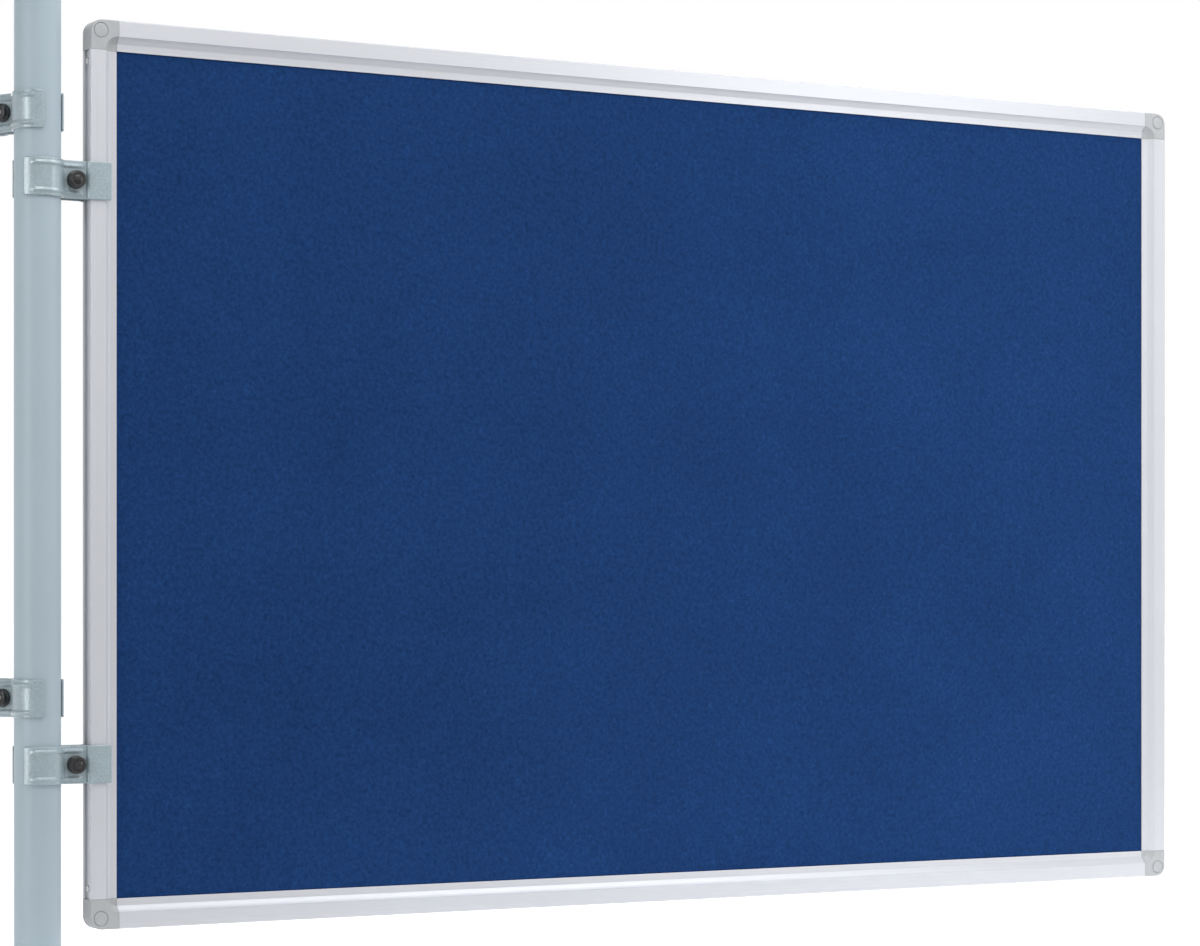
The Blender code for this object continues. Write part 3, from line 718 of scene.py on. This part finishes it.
def bar_section():
    """Outline and hollow of a bar as (inset, depth) points, with its small roundings."""
    groove_half = GROOVE_WIDTH / 2
    soft = FRAME_SOFT_EDGE
    upper = [
        (GROOVE_DEPTH, groove_half, soft),
        (0, groove_half, soft),
        (0, BOARD_HALF, FRAME_EDGE_RADIUS),
        *cove((FRAME_BAND, BOARD_HALF), (FRAME_BAND + FRAME_SLOPE, LIP_LEVEL), FRAME_COVE),
        (FRAME_FACE, LIP_LEVEL, soft),
        (FRAME_FACE, CHANNEL_HALF, soft / 2),
        (slope_inside_inset(CHANNEL_HALF), CHANNEL_HALF, 0),
        (CHANNEL_FLOOR, slope_inside(CHANNEL_FLOOR), 0),
    ]
    skin = BOARD_HALF - FRAME_WALL
    hollow = [
        (HOLLOW_START, skin, 0),
        (slope_inside_inset(skin), skin, 0),
        (HOLLOW_END, slope_inside(HOLLOW_END), 0),
    ]
    return eased(mirrored(upper), 5), eased(mirrored(hollow))


def screw_path(start, end):
    """The space that a corner screw's shank needs."""
    return prism(circle((0, 0), SCREW_RADIUS + SEAT_GAP, 24), [], start, end)


def bar_mesh(side):
    """A bar along +X, its outer face at height zero, with a screw hole near each end."""
    end = FRAME_FACE + SEAT_GAP
    outline, hollow = bar_section()
    bar = prism(outline, [hollow], end, side - end)
    bar = moved(bar, Matrix.Rotation(math.pi, 4, "X") @ Matrix.Rotation(SQUARE, 4, "Y"))
    reach = FRAME_FACE + SCREW_INSET
    holes = []
    for place_x in (reach, side - reach):
        hole = screw_path(GROOVE_DEPTH / 2, HOLLOW_START + OVERRUN)
        holes.append(moved(hole, Matrix.Translation((place_x, 0, 0))))
    return smooth("bar", combined(bar, joined(holes), "DIFFERENCE"))


def corner_block():
    """The square block of a corner piece, its outer corner round and its outer edges softened."""
    outline = arc((CORNER_RADIUS, CORNER_RADIUS), CORNER_RADIUS, math.pi, 3 * SQUARE, 28)
    outline += [(FRAME_FACE, 0), (FRAME_FACE, FRAME_FACE), (0, FRAME_FACE)]
    body = prism(outline, [], -BOARD_HALF, BOARD_HALF)
    body = moved(body, Matrix.Rotation(SQUARE, 4, "X"))

    def is_outer(edge):
        level = all(abs(abs(vert.co.y) - BOARD_HALF) < SEAT_GAP for vert in edge.verts)
        middle = (edge.verts[0].co + edge.verts[1].co) / 2
        inside = max(middle.x, middle.z) < FRAME_FACE - SEAT_GAP
        return level and inside and edge.calc_face_angle() > SHARP_EDGE

    rim = [edge for edge in body.edges if is_outer(edge)]
    rounding = {"offset": FRAME_EDGE_RADIUS, "segments": 5, "profile": 0.5}
    bmesh.ops.bevel(body, geom=rim, affect="EDGES", **rounding)
    return body


def corner_arms():
    """The two arms that fill the bars' hollows."""
    half = slope_inside(HOLLOW_END) - SEAT_GAP
    low = HOLLOW_START + SEAT_GAP
    high = HOLLOW_END - SEAT_GAP
    start = FRAME_FACE - OVERRUN
    end = FRAME_FACE + ARM_LENGTH
    level = block((start, -half, low), (end, half, high))
    upright = block((low, -half, start), (high, half, end))
    return joined([level, upright])


def corner_cuts():
    """The sloped recesses, the panel's slot, the cap bore and the screw holes."""
    cuts = []
    flat = Matrix.Rotation(SQUARE, 4, "X")
    outside = BOARD_HALF + OVERRUN
    wide = FRAME_LIP + FRAME_SLOPE
    past = wide + RECESS_OVERRUN
    for side in (1, -1):
        slope = cove((FRAME_LIP, LIP_LEVEL), (wide, BOARD_HALF), FRAME_COVE)
        outline = [
            (0, side * LIP_LEVEL, 0),
            *((radius, side * height, 0) for radius, height, _ in slope),
            (past, side * (BOARD_HALF + RECESS_LIFT), 0),
            (past, side * outside, 0),
            (0, side * outside, 0),
        ]
        recess = moved(turned(eased(outline, 4), 96), flat)
        cuts.append(moved(recess, Matrix.Translation((FRAME_FACE, 0, FRAME_FACE))))
    far = FRAME_FACE + OVERRUN
    cuts.append(block((CHANNEL_FLOOR, -CHANNEL_HALF, CHANNEL_FLOOR), (far, CHANNEL_HALF, far)))
    seat = BOARD_HALF - CAP_SEAT_DEPTH
    bore_wide = CAP_RADIUS + SEAT_GAP
    narrow = CAP_STEM_RADIUS + SEAT_GAP
    flare = bore_wide + CAP_RIM
    bore = [(0, outside), (flare + OVERRUN, outside), (flare - BORE_TRIM, BOARD_HALF)]
    bore += [(bore_wide, BOARD_HALF - CAP_RIM), (bore_wide, seat), (narrow, seat)]
    bore += [(radius, -height) for radius, height in reversed(bore)]
    bore = moved(turned(bore, 64), flat)
    cuts.append(moved(bore, Matrix.Translation((CAP_INSET, 0, CAP_INSET))))
    depth = HOLLOW_START + SEAT_GAP + SCREW_LENGTH
    reach = FRAME_FACE + SCREW_INSET
    cuts.append(moved(screw_path(0, depth), Matrix.Translation((reach, 0, 0))))
    sideways = Matrix.Translation((0, 0, reach)) @ Matrix.Rotation(SQUARE, 4, "Y")
    cuts.append(moved(screw_path(0, depth), sideways))
    return cuts


def corner_mesh():
    """A corner piece, its outer corner at the origin and its arms along +X and +Z."""
    solid = combined(corner_block(), corner_arms(), "UNION")
    for cut in corner_cuts():
        solid = combined(solid, cut, "DIFFERENCE")
    return smooth("corner", solid, angle=28)


def corner_cap_mesh():
    """A round cap, seated at height zero, its face along +Z."""
    face = CAP_SEAT_DEPTH - SEAT_GAP
    flat = CAP_RADIUS - CAP_EDGE
    profile = dome(flat, face, CAP_PROUD)
    profile += arc((flat, face - CAP_EDGE), CAP_EDGE, SQUARE, 0, 5)[1:]
    profile += [(CAP_RADIUS, 0), (CAP_STEM_RADIUS, 0)]
    profile += [(CAP_STEM_RADIUS, -CAP_STEM_LENGTH), (0, -CAP_STEM_LENGTH)]
    return smooth("corner_cap", turned(profile, 64))


def corner_screw_mesh():
    """A cross-head screw, the underside of its head at height zero."""
    flat = SCREW_HEAD_RADIUS - SCREW_HEAD_EDGE
    crown = SEAT_GAP / 2
    face = SCREW_HEAD_HEIGHT - crown
    profile = dome(flat, face, crown, 4)[:-1]
    profile += arc((flat, face - SCREW_HEAD_EDGE), SCREW_HEAD_EDGE, SQUARE, 0, 6)
    profile += [(SCREW_HEAD_RADIUS, 0), (SCREW_RADIUS, 0)]
    profile += [(SCREW_RADIUS, -SCREW_LENGTH + SCREW_RADIUS), (0, -SCREW_LENGTH)]
    length = SCREW_CROSS_LENGTH / 2
    width = SCREW_CROSS_WIDTH / 2
    arm = [(width, width), (width, length), (-width, length)]
    cross = []
    for quarter in range(4):
        turn = Matrix.Rotation(quarter * SQUARE, 2)
        cross += [tuple(turn @ Vector(point)) for point in arm]
    low = SCREW_HEAD_HEIGHT - SCREW_CROSS_DEPTH
    tool = prism(cross, [], low, SCREW_HEAD_HEIGHT + OVERRUN)
    return smooth("corner_screw", combined(turned(profile, 40), tool, "DIFFERENCE"))


def dress_frame():
    far_x = BOARD_OFFSET + BOARD_WIDTH
    places = (
        (BOARD_OFFSET, 0, BOARD_RISE),
        (far_x, 0, BOARD_RISE),
        (far_x, 0, BOARD_TOP),
        (BOARD_OFFSET, 0, BOARD_TOP),
    )
    flat_bar = bar_mesh(BOARD_WIDTH)
    upright_bar = bar_mesh(BOARD_HEIGHT)
    corner_piece = corner_mesh()
    cap = corner_cap_mesh()
    screw = corner_screw_mesh()
    cap_level = BOARD_HALF - CAP_SEAT_DEPTH + SEAT_GAP
    screw_level = GROOVE_DEPTH - SEAT_GAP
    reach = FRAME_FACE + SCREW_INSET
    for index, (corner, side) in enumerate(zip(CORNER_NAMES, SIDE_NAMES)):
        mark = Matrix.Translation(places[index]) @ Matrix.Rotation(-index * SQUARE, 4, "Y")
        bar = upright_bar if index % 2 else flat_bar
        show(f"{side}_bar", bar, "anodised_aluminium", "board", mark, [f"frame_{side}"])
        node = f"{corner}_corner"
        show(f"{node}_piece", corner_piece, "corner_plastic", "board", mark, [node])
        for face, sign in (("front", 1), ("back", -1)):
            seat = Matrix.Translation((CAP_INSET, -sign * cap_level, CAP_INSET))
            matrix = mark @ seat @ Matrix.Rotation(sign * SQUARE, 4, "X")
            node = f"{corner}_cap_{face}"
            show(f"{node}_piece", cap, "corner_plastic", "board", matrix, [node])
        level = Matrix.Translation((reach, 0, screw_level))
        matrix = mark @ level @ Matrix.Rotation(math.pi, 4, "X")
        node = f"{corner}_screw_{side}"
        show(f"{node}_piece", screw, "zinc_steel", "board", matrix, [node])
        upright = Matrix.Translation((screw_level, 0, reach))
        matrix = mark @ upright @ Matrix.Rotation(-SQUARE, 4, "Y")
        node = f"{corner}_screw_{SIDE_NAMES[index - 1]}"
        show(f"{node}_piece", screw, "zinc_steel", "board", matrix, [node])


# Felt and panel


def felt_mesh(front):
    """A felt sheet with its faces gently uneven, its outside towards -Y at the front."""
    inset = CHANNEL_FLOOR + SEAT_GAP
    width = BOARD_WIDTH - 2 * inset
    height = BOARD_HEIGHT - 2 * inset
    across = FELT_COLUMNS
    up = FELT_ROWS
    outer = CHANNEL_HALF - SEAT_GAP
    middle = outer - FELT_THICKNESS / 2
    sign = -1 if front else 1
    shape = bmesh.new()
    layers = []
    for face in (1, -1):
        grid = []
        for column in range(across + 1):
            line = []
            for row in range(up + 1):
                x = BOARD_OFFSET + inset + width * column / across
                z = BOARD_RISE + inset + height * row / up
                depth = middle + face * FELT_THICKNESS / 2
                if face == 1:
                    wave = noise.noise((x * FELT_WAVES, sign, z * FELT_WAVES))
                    depth -= abs(wave * FELT_UNEVENNESS)
                line.append(shape.verts.new((x, sign * depth, z)))
            grid.append(line)
        layers.append(grid)
    outside, inside = layers
    for grid in layers:
        for column in range(across):
            for row in range(up):
                corners = (grid[column][row], grid[column + 1][row])
                corners += (grid[column + 1][row + 1], grid[column][row + 1])
                shape.faces.new(corners)
    for column in range(across):
        for row in (0, up):
            corners = (outside[column][row], outside[column + 1][row])
            corners += (inside[column + 1][row], inside[column][row])
            shape.faces.new(corners)
    for row in range(up):
        for column in (0, across):
            corners = (outside[column][row], outside[column][row + 1])
            corners += (inside[column][row + 1], inside[column][row])
            shape.faces.new(corners)
    bmesh.ops.recalc_face_normals(shape, faces=shape.faces)
    return smooth("felt", shape, angle=40), (width, height)


def dress_panel():
    for face in ("front", "back"):
        mesh, flat = felt_mesh(face == "front")
        piece = show(f"{face}_felt_sheet", mesh, "blue_felt", "board", nodes=[f"felt_{face}"])
    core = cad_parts["core_panel"]
    for material_slot in core.material_slots:
        material_slot.material = FINISHES["fibreboard"]


# Clamps


def jaw_path():
    """Middle line of a front jaw in plan, from the wing's end to the strap's end."""
    rounding_steps = 8
    wing_steps = 10
    neck_steps = 16
    strap_steps = 56
    wing_end = BOARD_OFFSET + WING_GRIP
    wing_start = wing_end - STRAP_ROUNDING
    bend_x = NECK_END + JOG_RUN
    points = []
    for step in range(rounding_steps + 1):
        back = STRAP_ROUNDING * (1 - math.cos(SQUARE * step / rounding_steps))
        points.append((wing_end - back, -WING_LEVEL))
    for step in range(1, wing_steps):
        points.append((wing_start + (bend_x - wing_start) * step / wing_steps, -WING_LEVEL))
    wing_bend = (bend_x, JOG_BEND_RADIUS - WING_LEVEL)
    points += arc(wing_bend, JOG_BEND_RADIUS, -SQUARE, -SQUARE - JOG_ANGLE, 8)
    neck_bend = (NECK_END, -JOG_BEND_RADIUS - NECK_LEVEL)
    points += arc(neck_bend, JOG_BEND_RADIUS, SQUARE - JOG_ANGLE, SQUARE, 8)
    for step in range(1, neck_steps):
        points.append((NECK_END + (NECK_START - NECK_END) * step / neck_steps, -NECK_LEVEL))
    bend = (NECK_START, -NECK_LEVEL - NECK_BEND_RADIUS)
    points += arc(bend, NECK_BEND_RADIUS, SQUARE, SQUARE + NECK_TURN, 10)
    strap_end = -SQUARE - STRAP_PAST_CENTRE
    rounding = STRAP_ROUNDING / STRAP_LEVEL
    points += arc((0, 0), STRAP_LEVEL, -LEAVE_ANGLE, strap_end + rounding, strap_steps)
    for step in reversed(range(rounding_steps)):
        turn = strap_end + rounding * (1 - math.cos(SQUARE * step / rounding_steps))
        points.append((STRAP_LEVEL * math.cos(turn), STRAP_LEVEL * math.sin(turn)))
    return points


def corner_cut(run, radius):
    """How far a rounded corner takes the edge back at a run from the end."""
    if run >= radius:
        return 0
    return radius - math.sqrt(radius ** 2 - (radius - run) ** 2)


def ease(share):
    """Rise softly from 0 to 1 while share does."""
    share = min(max(share, 0), 1)
    return share * share * (3 - 2 * share)


def jaw_section():
    """(height, side, is on a face) round a rounded strip, side from -1 inside to 1 outside."""
    flat = JAW_HALF_HEIGHT - STRIP_EDGE
    steps = 6
    beads = [BEAD_CENTRE + BEAD_HALF_WIDTH * step / steps for step in range(-steps, steps + 1)]
    between = [flat * share for share in (0.45, 0.3, 0.15, 0)]
    rows = [flat] + sorted(beads, reverse=True) + between
    rows += [-height for height in reversed(rows[:-1])]
    half = STRIP / 2
    face = half - STRIP_EDGE
    loop = [(height, half) for height in rows]
    loop += [(-flat - dz, face + dy) for dy, dz in arc((0, 0), STRIP_EDGE, 0, SQUARE, 4)[1:]]
    loop += [(-flat - dz, -face + dy) for dy, dz in arc((0, 0), STRIP_EDGE, SQUARE, math.pi, 4)]
    loop += [(-height, -half) for height in rows[1:]]
    loop += [(flat + dz, -face + dy) for dy, dz in arc((0, 0), STRIP_EDGE, math.pi, SQUARE, 4)[1:]]
    loop += [(flat + dz, face + dy) for dy, dz in arc((0, 0), STRIP_EDGE, SQUARE, 0, 4)[:-1]]
    return loop


def jaw_mesh():
    """A front jaw: wing, jog, neck, bend and strap, one pressed strip with two soft beads."""
    path = jaw_path()
    runs = [0.0]
    for before, after in zip(path, path[1:]):
        runs.append(runs[-1] + math.dist(before, after))
    total = runs[-1]
    neck_run = next(
        run for run, (x, y) in zip(runs, path) if x <= NECK_END and y > -NECK_LEVEL - SEAT_GAP
    )
    section = jaw_section()
    shape = bmesh.new()
    rings = []
    for index, (x, y) in enumerate(path):
        before = path[max(index - 1, 0)]
        after = path[min(index + 1, len(path) - 1)]
        along = Vector((after[0] - before[0], after[1] - before[1])).normalized()
        run = runs[index]
        from_end = min(run, total - run)
        radius = WING_ROUNDING if run < total / 2 else STRAP_ROUNDING
        shrink = (JAW_HALF_HEIGHT - corner_cut(from_end, radius)) / JAW_HALF_HEIGHT
        thin = 1 - corner_cut(from_end, STRIP_EDGE) / (STRIP / 2)
        rise = ease((run - neck_run) / BEAD_RAMP)
        rise *= ease((total - run - BEAD_TO_STRAP_END) / BEAD_RAMP)
        ring = []
        for height, side in section:
            reach = (abs(height) - BEAD_CENTRE) / BEAD_HALF_WIDTH
            bead = (1 + math.cos(math.pi * reach)) / 2 if abs(reach) < 1 else 0
            out = side * thin + BEAD_HEIGHT * bead * rise
            ring.append(shape.verts.new((x - out * along.y, y + out * along.x, height * shrink)))
        rings.append(ring)
    shape = stitched(shape, rings)
    hole = prism(circle((0, 0), STUD_RADIUS + SEAT_GAP, 48), [], 0, NECK_FACE + OVERRUN)
    place = Matrix.Translation((SCREW_OFFSET, 0, 0)) @ Matrix.Rotation(SQUARE, 4, "X")
    hole = moved(hole, place)
    return smooth("jaw", combined(shape, hole, "DIFFERENCE"), angle=40)


def knob_mesh():
    """A knob, its base at height zero, its face along +Z, with a pocket for the collar."""
    body = KNOB_RADIUS - KNOB_STEP
    top = KNOB_SKIRT + KNOB_BODY
    foot = KNOB_FOOT_EDGE
    half = KNOB_RING_WIDTH / 2
    pocket = COLLAR_RADIUS + SEAT_GAP
    depth = COLLAR_HEIGHT + SEAT_GAP
    profile = [(pocket, 0)]
    profile += arc((KNOB_RADIUS - foot, foot), foot, -SQUARE, 0, 4)
    profile += arc((KNOB_RADIUS - foot, KNOB_SKIRT - foot / 2), foot, 0, KNOB_SKIRT_TURN, 4)
    profile += [(body, KNOB_SKIRT + KNOB_STEP / 2), (body, KNOB_SKIRT + KNOB_STEP)]
    profile += arc((body - KNOB_EDGE, top - KNOB_EDGE), KNOB_EDGE, 0, SQUARE, 8)
    ring_steps = 8
    for step in range(ring_steps + 1):
        turn = math.pi * step / ring_steps
        radius = KNOB_RING_RADIUS + half * math.cos(turn)
        profile.append((radius, top - KNOB_RING_DEPTH * math.sin(turn)))
    inner = KNOB_RING_RADIUS - half
    profile += list(reversed(dome(inner, top, KNOB_CROWN)))[1:]
    profile += [(0, depth), (pocket, depth)]
    return smooth("knob", turned(profile, 80), angle=40)


def stud_mesh():
    """A threaded stud along +Z, the underside of its collar at height zero."""
    end = -2 * (NECK_FACE + SEAT_GAP) - NUT_HEIGHT - STUD_PAST_NUT
    segments = 32
    steps = 8
    shares = [segment / segments for segment in range(segments)]
    shape = bmesh.new()

    def ring_of(height, radii):
        ring = []
        for share, radius in zip(shares, radii):
            turn = 2 * math.pi * share
            point = (radius * math.cos(turn), radius * math.sin(turn), height)
            ring.append(shape.verts.new(point))
        return ring

    levels = int(-end / THREAD_PITCH * steps)
    rings = []
    for level in range(levels + 1):
        height = -THREAD_START + (end + THREAD_START) * level / levels
        fade = min(1, (height - end) / (2 * THREAD_DEPTH) + THREAD_TIP_SHARE)
        worn = THREAD_DEPTH * THREAD_TIP_TAPER * (1 - fade)
        radii = []
        for share in shares:
            phase = (height / THREAD_PITCH - share) % 1
            radii.append(STUD_RADIUS - max(THREAD_DEPTH * abs(2 * phase - 1), worn))
        rings.append(ring_of(height, radii))
    outline = [(STUD_RADIUS, -COLLAR_NECK), (STUD_RADIUS, 0)]
    outline += [(COLLAR_RADIUS, 0), (COLLAR_RADIUS, COLLAR_HEIGHT)]
    for radius, height in outline:
        rings.insert(0, ring_of(height, [radius] * segments))
    return smooth("stud", stitched(shape, rings), angle=35)


def nut_mesh():
    """A chamfered hexagon nut, seated at height zero, along +Z."""
    radius = NUT_ACROSS_FLATS / 2 / math.cos(math.pi / 6)
    bore = STUD_RADIUS + SEAT_GAP
    hexagon = prism(circle((0, 0), radius, 6), [circle((0, 0), bore, 48)], 0, NUT_HEIGHT)
    flat = NUT_ACROSS_FLATS / 2
    lead = (radius - flat) * math.tan(NUT_CHAMFER)
    past = radius + OVERRUN
    drop = (past - flat) * math.tan(NUT_CHAMFER)
    cone = [(0, 0), (flat, 0), (past, drop)]
    cone += [(past, NUT_HEIGHT - drop), (flat, NUT_HEIGHT), (0, NUT_HEIGHT)]
    shape = combined(hexagon, turned(cone, 72), "INTERSECT")
    outside = NUT_HEIGHT + OVERRUN
    sink = [(0, outside), (bore + lead + OVERRUN, outside)]
    sink += [(bore, NUT_HEIGHT - lead), (0, NUT_HEIGHT - lead)]
    return smooth("nut", combined(shape, turned(sink, 48), "DIFFERENCE"), angle=25)


def dress_clamps():
    """Four alike clamps; the spare ones lie turned over and swivelled round the post."""
    meshes = {"jaw": jaw_mesh(), "knob": knob_mesh(), "stud": stud_mesh(), "nut": nut_mesh()}
    over = Matrix.Rotation(math.pi, 4, "X")
    face = NECK_FACE + SEAT_GAP
    front_seat = Matrix.Translation((SCREW_OFFSET, -face, 0)) @ Matrix.Rotation(SQUARE, 4, "X")
    back_seat = Matrix.Translation((SCREW_OFFSET, face, 0)) @ Matrix.Rotation(-SQUARE, 4, "X")
    for name, height in CLAMP_HEIGHTS.items():
        carrier = Matrix.Translation((0, 0, height))
        holder = "board_clamps"
        if name.endswith("left"):
            carrier = carrier @ Matrix.Rotation(LEFT_CLAMP_ANGLE, 4, "Z") @ over
            holder = f"{name}_clamp"
        flipped = carrier @ over
        front = carrier @ front_seat
        back = carrier @ back_seat
        pieces = (
            ("front_jaw", "jaw", "clamp_paint", f"{name}_front_jaw", carrier),
            ("back_jaw", "jaw", "clamp_paint", holder, flipped),
            ("knob", "knob", "black_plastic", f"{name}_screw", front),
            ("stud", "stud", "zinc_steel", f"{name}_screw", front),
            ("nut", "nut", "zinc_steel", holder, back),
        )
        for part, mesh, finish, body, matrix in pieces:
            node = f"{name}_{part}"
            placed = meshes[mesh].copy()
            placed.transform(matrix)
            show(f"{node}_piece", placed, finish, body, nodes=[node])


# Studio


def add_floor():
    shape = bmesh.new()
    bmesh.ops.create_circle(shape, cap_ends=True, segments=96, radius=FLOOR_RADIUS)
    mesh = bpy.data.meshes.new("studio_floor")
    shape.to_mesh(mesh)
    shape.free()
    mesh.materials.append(studio_white())
    floor = bpy.data.objects.new("studio_floor", mesh)
    bpy.context.scene.collection.objects.link(floor)


def add_light(name, place, target, size, power, spread):
    lamp = bpy.data.lights.new(name, "AREA")
    lamp.shape = "RECTANGLE"
    lamp.size, lamp.size_y = size
    lamp.energy = power
    lamp.spread = math.radians(spread)
    light = bpy.data.objects.new(name, lamp)
    bpy.context.scene.collection.objects.link(light)
    light.location = place
    light.visible_camera = False
    aim = Vector(target) - Vector(place)
    light.rotation_euler = aim.to_track_quat("-Z", "Y").to_euler()


def light_sky(tree):
    """White round the horizon and below it, dimmer towards the ceiling."""
    place = tree.nodes.new("ShaderNodeTexCoord").outputs["Generated"]
    split = tree.nodes.new("ShaderNodeSeparateXYZ")
    ramp = tree.nodes.new("ShaderNodeValToRGB")
    tree.links.new(place, split.inputs["Vector"])
    tree.links.new(split.outputs["Z"], ramp.inputs["Fac"])
    tree.links.new(ramp.outputs["Color"], tree.nodes["Background"].inputs["Color"])
    elements = ramp.color_ramp.elements
    while len(elements) < len(SKY_TONES):
        elements.new(0.5)
    for element, (position, grey) in zip(elements, SKY_TONES):
        element.position = position
        element.color = (grey, grey, grey, 1.0)


def add_studio():
    scene = bpy.context.scene
    add_floor()
    for light in LIGHTS:
        add_light(*light)
    world = bpy.data.worlds.new("studio")
    world.use_nodes = True
    light_sky(world.node_tree)
    scene.world = world
    scene.view_settings.view_transform = "Standard"
    camera_data = bpy.data.cameras.new("camera")
    camera_data.lens = CAMERA_LENS
    camera_data.sensor_width = CAMERA_SENSOR
    camera_data.shift_y = CAMERA_SHIFT
    camera = bpy.data.objects.new("camera", camera_data)
    scene.collection.objects.link(camera)
    camera.location = CAMERA_PLACE
    camera.rotation_euler = (SQUARE, 0, CAMERA_TURN)
    scene.camera = camera


add_studio()
dress_post()
dress_frame()
dress_panel()
dress_clamps()
